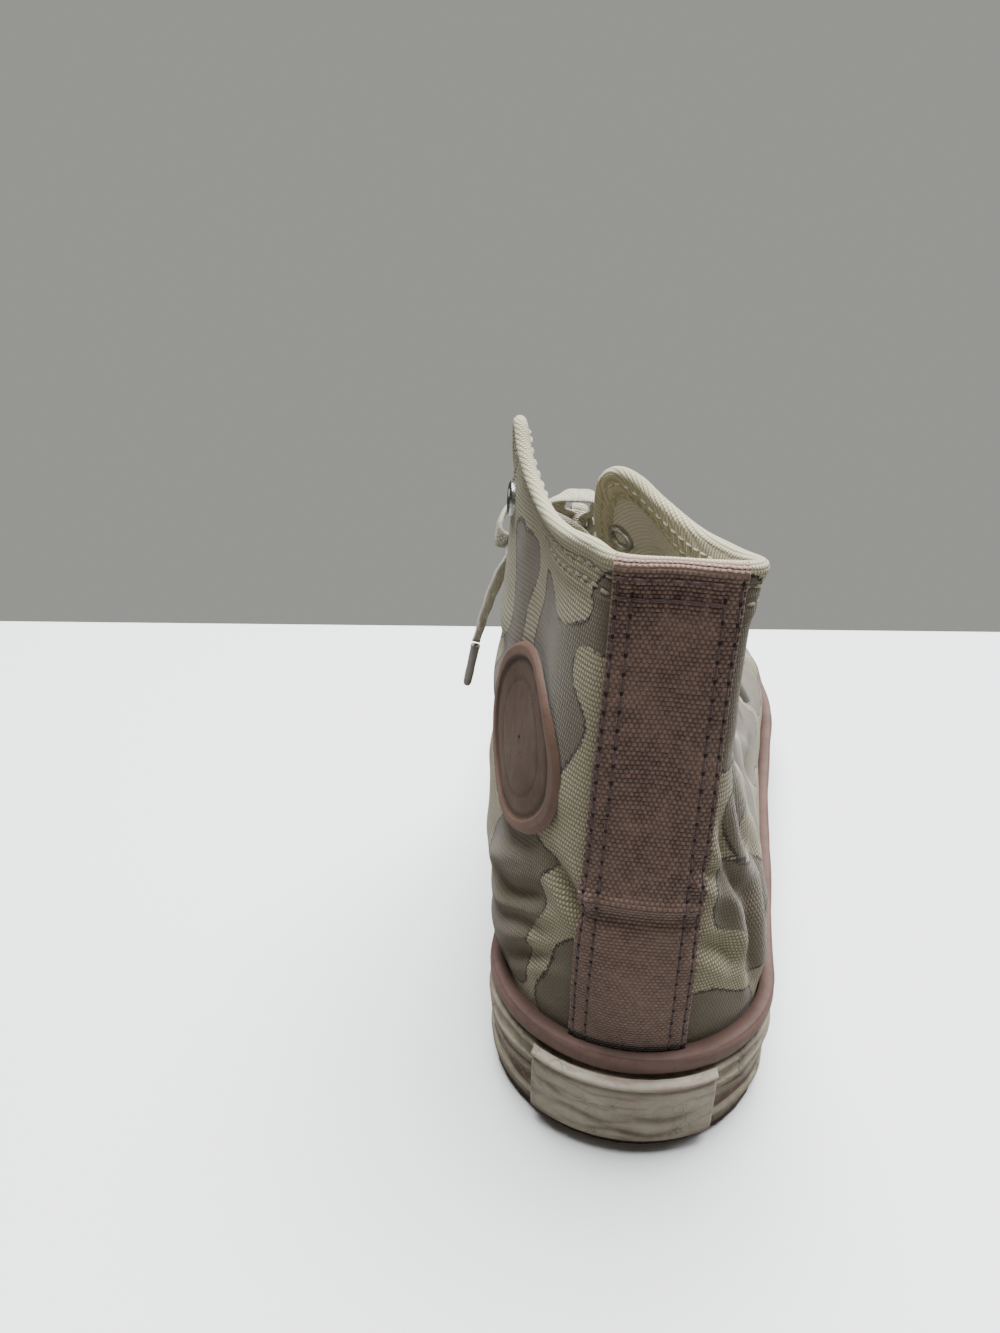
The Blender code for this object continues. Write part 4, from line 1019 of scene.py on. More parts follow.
@dataclass
class Stitcher:
    """Sews rows of thread on a surface."""

    maker: Fabricator
    drape: Drape
    pitch: float = 0.0031
    length: float = 0.0026
    radius: float = 0.00042

    def line(self, places: Grid, shares: Grid, lift: Grid | float) -> tuple[Grid, Grid]:
        """Points and normals of a seam through places on the canvas."""
        points = self.drape.surface(places, shares, lift)
        return points, self.drape.form.normal(places, shares)

    def threads(self, name: str, seams: list[tuple[Grid, Grid]], material: bpy.types.Material, slot: str,
                pitch: float | None = None, length: float | None = None,
                radius: float | None = None) -> bpy.types.Object:
        """Makes every stitch of several seams as one piece.

        Args:
            name: Name of the piece.
            seams: Points and normals of each seam.
            material: Thread's finish.
            slot: Material slot of the record, passed on to piece, which does not use it.
            pitch: Distance from stitch to stitch.
            length: Length of one stitch.
            radius: Half the thread's thickness.

        Returns:
            The object.
        """
        pitch, length, radius = pitch or self.pitch, length or self.length, radius or self.radius
        points, faces, flat = [], [], []
        rings, spokes = 5, 6
        for line, normals in seams:
            run = run_along(line)
            for k in range(int(run[-1] / pitch)):
                at = k * pitch + length * np.linspace(0, 1, rings)
                middle = places_along(at, run, line)
                up = unit(places_along(at, run, normals))
                ahead = unit(np.gradient(middle, axis=0))
                across = unit(np.cross(up, ahead))
                swell = np.sqrt(np.maximum(0.02, 1 - np.linspace(-1, 1, rings) ** 2))
                start = len(points)
                for ring in range(rings):
                    for spoke in range(spokes):
                        turn = 2 * math.pi * spoke / spokes
                        out = across[ring] * math.cos(turn) + up[ring] * math.sin(turn)
                        points.append(middle[ring] + (out * (0.35 + 0.65 * swell[ring])
                                                      - up[ring] * (0.9 - 0.9 * swell[ring])) * radius)
                        flat.append((at[ring] / MM, spoke * 0.4))
                faces += tube_faces(start, rings, spokes)
        return self.maker.piece(name, np.array(points), faces, material, slot, uv=np.array(flat))

    def holes(self, name: str, seams: list[tuple[Grid, Grid]], material: bpy.types.Material, slot: str,
              pitch: float, radius: float) -> bpy.types.Object:
        """Makes the painted shade in the needle holes of several seams as one piece of small dark domed dots.
        """
        points, faces = [], []
        spokes = 8
        for line, normals in seams:
            run = run_along(line)
            for k in range(int(run[-1] / pitch) + 1):
                at = k * pitch
                middle = places_along(at, run, line)
                up = unit(places_along(at, run, normals))
                right = unit(np.cross(up, (0.0, 0.0, 1.0)))
                over = np.cross(up, right)
                start = len(points)
                points.append(middle + up * 0.0002)
                for spoke in range(spokes):
                    turn = 2 * math.pi * spoke / spokes
                    points.append(middle + (right * math.cos(turn) + over * 1.5 * math.sin(turn)) * radius)
                for spoke in range(spokes):
                    faces.append((start, start + 1 + spoke, start + 1 + (spoke + 1) % spokes))
        return self.maker.piece(name, np.array(points), faces, material, slot)


@dataclass
class SubAssembly:
    """Part of the shoe, with what its pieces are made with."""

    maker: Fabricator
    drape: Drape
    finishes: Finishes

    @property
    def form(self) -> ShoeForm:
        """True shape of the last."""
        return self.drape.form


@dataclass
class UpperPanels(SubAssembly):
    """Canvas upper with its folded hem, lining and seams."""

    columns: int = 640
    rows: int = 116
    foot_drop: float = 0.009
    roll: float = 0.0016
    lining_foot: float = 0.0128
    turned_step: float = 0.6
    ink_clear: float = 9.0

    def soil(self, u: Grid, v: Grid, relief: Grid) -> Grid:
        """Dirt and painted shade of the canvas: dirt at the foot, painted shade in the troughs of the
        creases, and darker at the ankle's sides.
        """
        foot = 0.75 * np.exp(-np.maximum(v, 0) / 7.0)
        # Painted shade in the troughs of the creases.
        trough = np.clip(-relief / MM * 0.45, 0, 0.6)
        ankle = 0.35 * bell(np.abs(u), 48, 26) * bell(v, 34, 26)
        return np.clip(0.16 + foot + trough + ankle, 0, 1)

    def warp(self, u: Grid, v: Grid) -> tuple[Grid, Grid]:
        """Panel places pushed aside, so that the printed shapes wander; less so near the back seam."""
        reach = np.clip((np.abs(u) - 25) / 45, 0.12, 1)
        aside = 5.5 * np.sin(v / 9.5 + 1.7 * np.sin(u / 21)) + 2.6 * np.sin(v / 4.1 + u / 6.3)
        along = 4.5 * np.sin(u / 12.5 + 1.3 * np.sin(v / 14)) + 2.2 * np.sin(u / 5.2 - v / 4.7)
        return u + aside * reach, v + along * reach

    def inks(self, u: Grid, v: Grid, turned: int) -> dict[str, Grid]:
        """Distance from each ink's outline by its name. No ink reaches the last rows, which are turned in."""
        warped_u, warped_v = self.warp(u, v)
        marks = {}
        for ink, blots in CAMOUFLAGE.items():
            marks[ink.value] = np.max([blot.distance(warped_u, warped_v) for blot in blots], axis=0)
            marks[ink.value][-turned:] -= self.ink_clear
        return marks

    def turn_over(self, s: Grid, edge: Grid) -> list[Grid]:
        """Rows of points of the hem's rolled edge and of the part that is turned in.

        Args:
            s: Places round the shoe.
            edge: Points of the canvas's upper edge.

        Returns:
            Rows from the edge over and down the inner side.
        """
        form = self.form
        normal, up = form.normal(s, 1.0), unit(form.point(s, 1.0) - form.point(s, 0.98))
        middle = edge - normal * self.roll
        rows = []
        for turn in np.linspace(0, math.pi, 9)[1:]:
            rows.append(middle + normal * self.roll * math.cos(turn) + up * self.roll * math.sin(turn))
        # The turned edge lies on the inner face, and ends in the wall.
        for down, rise in ((0.002, 0.0004), (0.005, 0.0004), (0.0085, 0.0004), (0.0088, -0.0002)):
            share = 1 - down / form.rib_length(s)
            inside = form.point(s, share) - form.normal(s, share) * (form.wall + rise)
            rows.append(inside + form.normal(s, share) * self.drape.relief(s, share)[:, None])
        return rows

    def build(self) -> None:
        """Makes the canvas shell and the lining."""
        form = self.form
        s = np.linspace(-1, 1, self.columns, endpoint=False)
        t = cosine_rows(self.rows)
        places, shares = np.meshgrid(s, t)
        relief = self.drape.relief(places, shares)
        face = self.drape.surface(places, shares, self.drape.hem(places, shares))
        inset = form.foxing_thickness + form.skin_gap
        top = form.foxing_top(form.plan(s, inset)[2])
        foot = [form.outline(s, inset, top - self.foot_drop * drop) for drop in (1.0, 0.5)]
        turned = self.turn_over(s, face[-1])
        grid = np.concatenate([np.array(foot), face, np.array(turned)])
        ends = np.linspace(-1, 1, self.columns + 1)
        u, v = form.panel(*np.meshgrid(ends, t))
        foot_v = [v[0] - self.foot_drop / MM * drop for drop in (1.0, 0.5)]
        turned_v = [v[-1] + self.turned_step * k for k in range(1, len(turned) + 1)]
        v = np.concatenate([np.array(foot_v), v, np.array(turned_v)])
        u = np.concatenate([u[:1]] * len(foot) + [u] + [u[-1:]] * len(turned))
        raised = np.concatenate([relief[:1]] * len(foot) + [relief] + [relief[-1:] * 0] * len(turned))
        marks = self.inks(u[:, :-1], v[:, :-1], len(turned))
        marks["soil"] = self.soil(u[:, :-1], v[:, :-1], raised)
        below_edge = (form.rib_length(s) / MM)[None, :] - v[:, :-1]
        marks["wear"] = 0.34 / (1 + np.exp((below_edge - 2.0) / 0.5))
        self.maker.sheet("upper_canvas", grid, self.finishes.canvas, "canvas", wrap=True,
                         flat=flat_grid(u, v), marks=marks, replaces=("upper",))
        self.build_lining()
        self.build_seams()

    def build_lining(self) -> None:
        """Makes the cloth lining inside the wall."""
        form = self.form
        s = np.linspace(-1, 1, 360, endpoint=False)
        shares = np.linspace(0, 1, 60)
        places, t = np.meshgrid(s, shares)
        t = t * (1 - 0.007 / form.rib_length(places))
        inside = self.drape.surface(places, t, -form.wall)
        inset = form.foxing_thickness + form.skin_gap + form.wall
        foot = form.outline(s, inset, self.lining_foot + form.spring(form.plan(s, inset)[2]))
        grid = np.concatenate([foot[None], inside])
        ends, up = np.meshgrid(np.linspace(-1, 1, 361), shares)
        u, v = form.panel(ends, up)
        flat = flat_grid(np.concatenate([u[:1], u]), np.concatenate([v[:1] - 18, v]))
        # The lining is darker towards its foot.
        soil = np.clip(0.15 + 0.5 * np.exp(-flat[:, :-1, 1] / 20), 0, 1)
        self.maker.sheet("upper_lining", grid, self.finishes.lining, "lining", wrap=True, flat=flat,
                         marks={"soil": soil}, flip=True)

    def build_seams(self) -> None:
        """Sews the double rows along the collar and the throat, outside and on the inner face."""
        form = self.form
        sewer = Stitcher(self.maker, self.drape)
        seams = []
        places = np.linspace(-0.93, 0.93, 900)
        for down in HEM_ROWS:
            shares = 1 - down / form.rib_length(places)
            seams.append(sewer.line(places, shares, self.drape.hem(places, shares) + 0.0002))
        sewer.threads("hem_stitches", seams, self.finishes.thread, "canvas")
        inner = []
        for down in (0.0030, 0.0066):
            shares = 1 - down / form.rib_length(places)
            points, normals = sewer.line(places, shares, -form.wall - 0.0005)
            inner.append((points, -normals))
        sewer.threads("hem_stitches_inside", inner, self.finishes.thread, "canvas")


@dataclass
class HeelStrip(SubAssembly):
    """Dyed duck strip sewn over the back seam."""

    half_width: float = 0.0140
    top_taper: float = 0.05
    thickness: float = 0.0011
    fold_height: float = 48.0
    seams: tuple[float, float] = (0.68, 0.90)
    pitch: float = 0.0042
    roll: float = 0.0017
    foot: float = 0.004

    def lift(self, off: Grid, t: Grid) -> Grid:
        """Rise of the strip's face over the canvas, with rounded borders, a fold and a pucker per seam."""
        form = self.form
        high = t * form.rib_length(off * 0) / MM
        border = np.clip((1 - np.abs(off)) / 0.06, 0, 1)
        rise = (form.hem_step + form.gap) + self.thickness * np.sqrt(np.clip(border * (2 - border), 0, 1))
        for seam in self.seams:
            rise = rise - 0.00028 * bell(np.abs(off), seam, 0.035)
        rise = rise + 0.0007 * bell(high, self.fold_height, 1.6)
        rise = rise - 0.0006 * bell(high - self.fold_height, -4.2, 2.2)
        rise = rise + 0.00025 * np.sin(high / 7.0) * np.cos(off * 3)
        return rise + 0.0006 * np.exp(-(((1 - t) * 40) ** 2))

    def build(self) -> None:
        """Makes the strip and its four seams."""
        form = self.form
        reach = form.place_at(self.half_width / MM)
        off, t = np.meshgrid(np.linspace(-1, 1, 75), np.linspace(self.foot, 1.0, 200))
        places = off * reach * (1 - self.top_taper * t)
        grid = self.drape.surface(places, t, self.lift(off, t))
        normal = form.normal(places[-1], 1.0)
        up = unit(form.point(places[-1], 1.0) - form.point(places[-1], 0.98))
        turned = [grid[-1] - normal * self.roll * (1 - math.cos(a)) + up * self.roll * math.sin(a)
                  for a in np.linspace(0, math.pi * 0.75, 7)[1:]]
        foot = form.point(places[0], self.foot) + form.normal(places[0], self.foot) * form.hem_step
        grid = np.concatenate([foot[None], grid, np.array(turned)])
        u, v = form.panel(places, t)
        u = np.concatenate([u[:1], u] + [u[-1:]] * len(turned))
        v = np.concatenate([v[:1] - 1, v] + [v[-1:] + 0.7 * (k + 1) for k in range(len(turned))])
        # A dark binding shows at its foot, and painted shade lies in the trough under its fold.
        # It is faded under its fold and rubbed on its top edge.
        above = np.maximum(v, 0)
        soil = np.clip(1.15 * np.exp(-((above / 3.0) ** 4)) + 0.25 * np.exp(-above / 8), 0, 1)
        soil = np.maximum(soil, 0.2 * bell(v - self.fold_height, -4.0, 2.2))
        wear = 0.75 / (1 + np.exp((v.max() - 5.2 - v) / 0.35))
        wear = np.maximum(wear, 0.3 * bell(v, self.fold_height, 1.5))
        wear = np.maximum(wear, 0.3 / (1 + np.exp((v - self.fold_height + 6) / 2.0)))
        self.maker.sheet("heel_strip_duck", grid, self.finishes.strip, "strip_canvas", flat=flat_grid(u, v),
                         marks={"soil": soil, "wear": wear}, replaces=("heel_strip",))
        sewer = Stitcher(self.maker, self.drape)
        seams, dots = [], []
        shares = np.linspace(0.012, 0.985, 300)
        thread = self.finishes.strip_thread
        for offset in (-self.seams[1], -self.seams[0], *self.seams):
            offs = np.full_like(shares, offset)
            across = offs * reach * (1 - self.top_taper * shares)
            seams.append(sewer.line(across, shares, self.lift(offs, shares) + 0.00012))
            dots.append(sewer.line(across, shares, self.lift(offs, shares) + 0.00008))
        sewer.threads("strip_stitches", seams, thread, "strip_canvas", self.pitch, 0.0034, 0.00034)
        sewer.holes("strip_needle_hole_shade", dots, self.finishes.hole, "strip_canvas", self.pitch, 0.00045)
        rows = []
        offs = np.linspace(-0.97, 0.97, 80)
        for down in (0.0026, 0.0072):
            row = np.full_like(offs, 1 - down / float(form.rib_length(0.0)))
            across = offs * reach * (1 - self.top_taper)
            rows.append(sewer.line(across, row, self.lift(offs, row) + 0.0002))
        sewer.threads("strip_top_stitches", rows, thread, "strip_canvas", 0.0036, 0.0031, 0.0004)


@dataclass
class AnklePatch(SubAssembly):
    """Plain round rubber patch on the inner ankle, with a sunk ring and a raised rim."""

    place: float = -0.192
    share: float = 0.574
    radius: float = 0.0227
    thickness: float = 0.0012
    rim: float = 0.0032
    stiffness: float = 0.0055
    seat: float = 0.0006
    groove: float = -0.035
    ring: float = 0.62

    @property
    def edge(self) -> float:
        """Share of the radius where the rim starts."""
        return 1 - self.rim / self.radius

    def profile(self, out: Grid) -> Grid:
        """Height of the disc's face at shares of its radius."""
        edge = self.edge
        height = self.thickness + 0.0005 / (1 + np.exp(-(out - edge) / 0.006))
        height = height - 0.00045 * bell(out - edge, self.groove, 0.014)
        height = height - 0.00025 * bell(out, self.ring, 0.012)
        return height * np.sqrt(np.clip((1.004 - out) / 0.05, 0.0, 1))

    def build(self) -> None:
        """Makes the disc and its rim, laid on the creased canvas."""
        form = self.form
        centre = form.point(self.place, self.share)
        normal = form.normal(self.place, self.share)
        right = unit(np.cross((0.0, 0.0, 1.0), normal))
        up = np.cross(normal, right)
        s = self.place + np.linspace(-0.16, 0.16, 161)
        t = self.share + np.linspace(-0.32, 0.32, 161)
        cloth_s, cloth_t = np.meshgrid(s, t)
        cloth = self.drape.surface(cloth_s, cloth_t, 0.0)
        rel = cloth - centre
        flat_x, flat_y, depth = rel @ right, rel @ up, rel @ normal
        turns = np.linspace(0, 2 * math.pi, 96, endpoint=False)
        outs = np.concatenate([np.linspace(0.02, 0.84, 26), np.linspace(0.85, 1.0, 22)])
        grid = []
        for out in outs:
            row = []
            for turn in turns:
                x, y = self.radius * out * math.cos(turn), self.radius * out * math.sin(turn)
                away = (flat_x - x) ** 2 + (flat_y - y) ** 2
                weight = np.exp(-away / (2 * self.stiffness**2))
                base = float((depth * weight).sum() / weight.sum())
                rough = 0.00012 * noise.noise(Vector((x * 300, y * 300, 1.0)))
                rise = base + self.seat + self.profile(out) + rough
                row.append(centre + right * x + up * y + normal * rise)
            grid.append(row)
        grid = np.array(grid)
        flat = flat_grid(np.append(turns, 2 * math.pi) * 20, outs[:, None] * 26)
        # Painted shade in the groove at the rim's foot and in the sunk ring, fainter on the rim.
        soil = bell(outs - self.edge, self.groove, 0.02) + 0.5 * bell(outs, self.ring, 0.015)
        soil = soil[:, None]
        split = int(np.searchsorted(outs, self.edge))
        self.maker.sheet("ankle_disc", grid[: split + 1], self.finishes.disc, "patch_rubber", wrap=True,
                         flat=flat[: split + 1], marks={"soil": soil[: split + 1]}, flip=True,
                         replaces=("ankle_patch",))
        self.maker.sheet("ankle_disc_rim", grid[split:], self.finishes.rim, "patch_rubber", wrap=True,
                         flat=flat[split:], marks={"soil": soil[split:] * 0.4}, flip=True)


@dataclass
class SoleUnit(SubAssembly):
    """Rubber sole: outsole, foxing, piping, heel plate and insole."""

    tread: float = 0.003
    piping_height: float = 0.0052
    piping_proud: float = 0.0011
    toe_guard: float = 0.0012
    label_half: float = 0.022
    label_thickness: float = 0.0011
    flat_height: float = 23.0
    columns: int = 520

    def guard(self, share: Grid) -> Grid:
        """How far the foxing stands out at the toe."""
        run = np.clip((share - 0.76) / 0.06, 0, 1)
        return self.toe_guard * run * run * (3 - 2 * run)

    def ring(self, outset: Grid, height: Grid, s: Grid) -> Grid:
        """Points round the sole at an outset and a height over its springing underside."""
        return self.form.outline(s, -outset - self.guard(self.form.plan(s)[2]), height)

    def rounds(self) -> tuple[Grid, Grid, Grid, Grid]:
        """Places round the sole, their shares of its length, and their distances round it in millimetres,
        the last time with the seam's place once more."""
        s = np.linspace(-1, 1, self.columns, endpoint=False)
        places, runs = self.form.girth
        arc = np.interp(s, places, runs) / MM
        return s, self.form.plan(s)[2], arc, np.append(arc, arc[-1] + (arc[-1] - arc[-2]))

    def band_profile(self) -> Grid:
        """Outer side of the foxing: share of its height and how far it stands out."""
        return np.array([
            (0.00, -0.0007), (0.02, -0.0002), (0.05, 0.0), (0.19, 0.0), (0.205, -0.0004), (0.22, -0.0006),
            (0.30, -0.0006), (0.39, -0.0006), (0.405, -0.0004), (0.42, 0.0), (0.50, 0.0001), (0.56, 0.0),
            (0.575, -0.0003), (0.59, 0.0), (0.66, 0.0), (0.68, 0.0004), (0.70, 0.0007), (0.72, 0.0004),
            (0.74, 0.0), (0.84, -0.0001), (0.88, 0.0003), (0.91, 0.0005), (0.94, 0.0003), (0.97, -0.0003),
            (1.00, -0.0009),
        ])

    def build(self) -> None:
        """Makes the parts of the sole."""
        self.build_foxing()
        self.build_piping()
        self.build_label()
        self.build_insole()
        self.dress_outsole()

    def build_foxing(self) -> None:
        """Makes the band round the sole, uneven and scuffed."""
        form = self.form
        s, share, arc, ends = self.rounds()
        low = self.tread + form.gap + form.spring(share)
        high = form.foxing_top(share) - self.piping_height - form.gap
        loops, heights = [], []
        for up, outset in self.band_profile():
            uneven = 0.00022 * np.sin(arc / 7.0 + 5 * up) * np.sin(arc / 19.0)
            uneven = uneven + 0.00015 * np.sin(arc / 3.1 + 9 * up)
            loops.append(self.ring(outset + uneven, low + up * (high - low), s))
            heights.append(up * self.flat_height)
        loops += [form.outline(s, form.foxing_thickness, height) for height in (high, low)] + [loops[0]]
        heights += [self.flat_height, 0.0, 0.0]
        grid = np.array(loops)
        flat = flat_grid(ends, np.array(heights)[:, None])
        up = np.array(heights) / self.flat_height
        # Darker at its foot and in a band at 0.8 of its height, with painted shade in its grooves and under
        # the piping, all varying round the sole.
        soil = 0.75 * np.exp(-(up / 0.08) ** 2) + 0.55 * bell(up, 0.405, 0.02)
        soil = soil + 0.6 * bell(up, 0.575, 0.015) + 0.5 * bell(up, 0.98, 0.03)
        soil = soil + 0.35 * bell(up, 0.8, 0.05)
        soil = np.clip(soil[:, None] * (0.7 + 0.5 * np.sin(arc / 11.0) * np.sin(arc / 27.0)), 0, 0.9)
        self.maker.sheet("foxing_rubber", grid, self.finishes.foxing, "cream_rubber", wrap=True, flat=flat,
                         marks={"soil": soil}, replaces=("foxing_band",))

    def build_piping(self) -> None:
        """Makes the round bead along the top of the foxing."""
        form = self.form
        s, share, arc, ends = self.rounds()
        top = form.foxing_top(share)
        loops = []
        for k in range(15):
            turn = math.pi * k / 14
            uneven = 0.0001 * np.sin(arc / 5.0 + k) + 0.00012 * np.sin(arc / 13.0)
            outset = self.piping_proud * math.sin(turn) ** 0.8 - 0.0007 + uneven
            loops.append(self.ring(outset, top - self.piping_height * (0.5 + 0.5 * math.cos(turn)), s))
        for height in (top, top - self.piping_height):
            loops.append(form.outline(s, form.foxing_thickness, height))
        loops.append(loops[0])
        grid = np.array(loops)
        flat = flat_grid(ends, np.arange(len(loops))[:, None] * 0.5)
        # Painted shade on the underside of the bead and where its top turns in to the canvas.
        soil = np.zeros(len(loops))
        soil[:3] = (0.6, 0.4, 0.15)
        soil[12:] = 0.45
        self.maker.sheet("piping_rubber", grid, self.finishes.piping, "mauve_rubber", wrap=True, flat=flat,
                         marks={"soil": soil[:, None]}, replaces=("foxing_piping",))

    def build_label(self) -> None:
        """Makes the plain plate at the heel, ribbed at its top, cracked and rubbed."""
        form = self.form
        reach = math.asin(min(0.95, self.label_half / (form.heel_width / 2))) / (math.pi / 2) * form.heel_turn
        low = self.tread + form.gap
        high = form.foxing_heel - self.piping_height - form.gap
        table = SmoothTable([(0.05, 0.2), (0.09, 0.95), (0.30, 1.1), (0.50, 1.15), (0.70, 1.1), (0.80, 0.9),
                             (0.83, 0.45), (0.87, 1.35), (0.92, 1.4), (0.955, 0.6), (0.99, 0.1)])
        ups = np.linspace(0.05, 0.99, 56)
        offs = np.linspace(-1, 1, 90)
        off, up = np.meshgrid(offs, ups)
        border = np.clip((1 - np.abs(off)) / 0.035, 0, 1)
        thick = self.label_thickness * table.at(up)[..., 0] * np.sqrt(border * (2 - border))
        tears = np.zeros_like(off)
        for k, (x, y, width, height) in enumerate(((-0.35, 0.36, 0.5, 0.05), (0.45, 0.42, 0.35, 0.06),
                                                   (0.1, 0.2, 0.6, 0.04), (-0.7, 0.55, 0.2, 0.05))):
            line = y + 0.03 * np.sin(off * 9 + k)
            tears += np.exp(-(((off - x) / width) ** 2) - (((up - line) / height) ** 2))
        thick = thick - 0.0003 * np.clip(tears, 0, 1) * border
        s = off * reach
        grid = form.outline(s, -(form.skin_gap + form.gap + np.maximum(thick, 0.0)), low + up * (high - low))
        flat = flat_grid(off * self.label_half / MM, up * self.flat_height)
        # Darker in its tears and at its foot, with painted shade in the groove under its ribbed top.
        soil = np.clip(0.5 * tears + 0.5 * bell(up, 0.83, 0.02) + 0.35 * np.exp(-(up / 0.15) ** 2), 0, 1)
        self.maker.sheet("heel_plate_rubber", grid, self.finishes.label, "cream_rubber", flat=flat,
                         marks={"soil": soil}, replaces=("heel_label",))

    def build_insole(self) -> None:
        """Makes the worn insole, pressed under the heel and the ball."""
        form = self.form
        s = np.linspace(-1, 1, 200, endpoint=False)
        inset = form.foxing_thickness + form.skin_gap + form.wall + 0.0006
        rows = []
        x, y, _ = form.plan(s, inset)
        spine = np.clip(y, 0.0, 0.19)
        for out in np.concatenate([[1.0], np.linspace(1.0, 0.0, 26)]):
            px = x * out
            py = spine + (y - spine) * out
            length_share = (py + form.heel_setback) / form.length
            press = 0.0010 * np.exp(-((px**2 + (py - 0.0) ** 2) / 0.022**2))
            press = press + 0.0010 * np.exp(-((px**2 + (py - 0.135) ** 2) / 0.03**2))
            top = 0.0123 + 0.003 - press - (0.0022 if not rows else 0.0)
            rows.append(np.stack([px, py, top + form.spring(length_share)], axis=-1))
        grid = np.array(rows)
        wide = np.concatenate([grid, grid[:, :1]], axis=1)
        soil = np.clip(0.25 + 0.4 * np.exp(-((grid[..., 0] ** 2 + grid[..., 1] ** 2) / 0.03**2)), 0, 1)
        self.maker.sheet("insole_cloth", grid, self.finishes.lining, "lining", wrap=True,
                         flat=wide[..., :2] / MM, marks={"soil": soil}, replaces=("insole",), flip=True)

    def dress_outsole(self) -> None:
        """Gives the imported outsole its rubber."""
        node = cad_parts["outsole"]
        for slot in node.material_slots:
            slot.material = self.finishes.outsole


@dataclass
class ToeCap(SubAssembly):
    """Rubber cap over the toe, its back edge arched across the vamp."""

    length: float = 0.060
    arch: float = 7.6
    reach: float = 0.27
    foot: float = 0.008
    corner: float = 0.05
    lift: float = 0.0009
    thickness: float = 0.0014

    def build(self) -> None:
        """Makes the cap, with a rounded back edge."""
        form = self.form
        places = 1.0 + self.reach * np.linspace(-1, 1, 150)
        shares = np.linspace(0, 1, 401)
        edges = []
        for s in places:
            line = form.point(np.full_like(shares, s), shares)
            ahead = line[:, 1] + form.heel_setback > form.length - self.length + self.arch * line[:, 0] ** 2
            kept = np.nonzero(ahead)[0]
            edges.append(max(shares[kept[-1]] if len(kept) else 0.0, self.corner))
        edges = np.array(edges)
        up = np.linspace(0, 1, 60)
        s, share = np.meshgrid(places, up)
        t = self.foot + (edges[None, :] - self.foot) * share
        border = np.clip((1 - share) / 0.06, 0, 1)
        rise = self.lift + self.thickness * np.sqrt(border * (2 - border)) * np.clip(share * 20 + 0.5, 0, 1)
        rise = rise - 0.0003 * bell(share, 0.86, 0.012)
        uneven = 0.00012 * np.sin(s * 90) * np.sin(t * 40)
        grid = form.point(s, t) + form.normal(s, t) * (rise + uneven)[..., None]
        last = form.point(places, edges) + form.normal(places, edges) * 0.0002
        grid = np.concatenate([grid, last[None]])
        u = (s - 1.0) * 340
        v = t * form.rib_length(s) / MM
        flat = flat_grid(np.concatenate([u, u[-1:]]), np.concatenate([v, v[-1:] + 1]))
        # Darker at its foot, with painted shade in the groove near its back edge and where that edge meets
        # the canvas.
        soil = 0.55 * np.exp(-(share / 0.08) ** 2) + 0.5 * bell(share, 0.86, 0.02)
        soil = np.clip(np.concatenate([soil, soil[-1:] + 0.3]), 0, 1)
        self.maker.sheet("toe_cap_rubber", grid, self.finishes.cap, "cream_rubber", flat=flat,
                         marks={"soil": soil}, replaces=("toe_cap",))


@dataclass
class Tongue(SubAssembly):
    """Soft canvas tongue under the laces."""

    depth: float = 0.0076
    thickness: float = 0.0022
    sag: float = 0.008
    tuck: float = 0.9
    seam_tuck: float = 0.35
    top_share: float = 0.66
    seam_share: float = 0.11

    def build(self) -> None:
        """Makes the tongue, closed and soft at its top edge."""
        shares = np.concatenate([[-0.09, -0.045], np.linspace(0, self.top_share, 12)])
        rows = []
        for share in shares:
            # Its foot is sewn under the vamp.
            seam = min(1.0, max(0.0, 1 - share / self.seam_share))
            tuck = self.tuck + (self.seam_tuck - self.tuck) * seam
            drop = self.depth + share**2 * self.sag - seam * (self.depth - self.form.wall - self.form.gap)
            marks = []
            for side in (Side.INNER, Side.OUTER):
                centre, edge, normal = self.form.throat(side, share * (self.form.eyelets - 1))
                marks.append((edge.lerp(centre, tuck), edge, normal))
            (far_in, edge_in, n_in), (far_out, edge_out, n_out) = marks
            points = [(far_in, n_in), (far_in.lerp(edge_in, 0.5), n_in), (edge_in, n_in)]
            for part in (0.25, 0.5, 0.75):
                points.append((edge_in.lerp(edge_out, part), n_in.lerp(n_out, part).normalized()))
            points += [(edge_out, n_out), (far_out.lerp(edge_out, 0.5), n_out), (far_out, n_out)]
            rows.append([(*(point - normal * drop), *normal) for point, normal in points])
        rows = np.array(rows)
        long_way, cross_way = 90, 50
        table = SmoothTable([(k, *row.reshape(-1)) for k, row in enumerate(rows)])
        fine = []
        for row in table.at(np.linspace(0, len(rows) - 1, long_way)).reshape(long_way, *rows.shape[1:]):
            table = SmoothTable([(k, *point) for k, point in enumerate(row)])
            fine.append(table.at(np.linspace(0, len(row) - 1, cross_way)))
        fine = np.array(fine)
        points, normals = fine[..., :3], unit(fine[..., 3:])
        across = np.linspace(-1, 1, cross_way)[None, :]
        down = np.linspace(0, 1, long_way)[:, None]
        soft = 0.0006 * np.sin(down * 31 + 2 * across) * np.sin(across * 4.0 + 5 * down) * (1 - across**2)
        top = points + normals * soft[..., None]
        bottom = points - normals * self.thickness
        edge = (top[-1:] + bottom[-1:]) / 2 + (top[-1:] - top[-2:-1]) * 0.9
        grid = np.concatenate([top, edge, bottom[::-1]])
        u, v = np.broadcast_arrays(across * 24, down * 95)
        u = np.concatenate([u, u[-1:], u[::-1]])
        v = np.concatenate([v, v[-1:] + 1, 192 - v[::-1]])
        flat = flat_grid(u, v)
        marks = {
            Ink.MAUVE.value: 7 * np.sin(u / 9 + v / 13) * np.sin(v / 17 + 1) - 1.5,
            Ink.OLIVE.value: 6 * np.sin(u / 11 - v / 15 + 2) * np.sin(v / 21) - 3,
            Ink.SAND.value: np.full(u.shape, -9.0),
            "soil": np.full(u.shape, 0.35),
        }
        self.maker.sheet("tongue_canvas", grid, self.finishes.canvas, "canvas", flat=flat, marks=marks,
                         replaces=("tongue",))


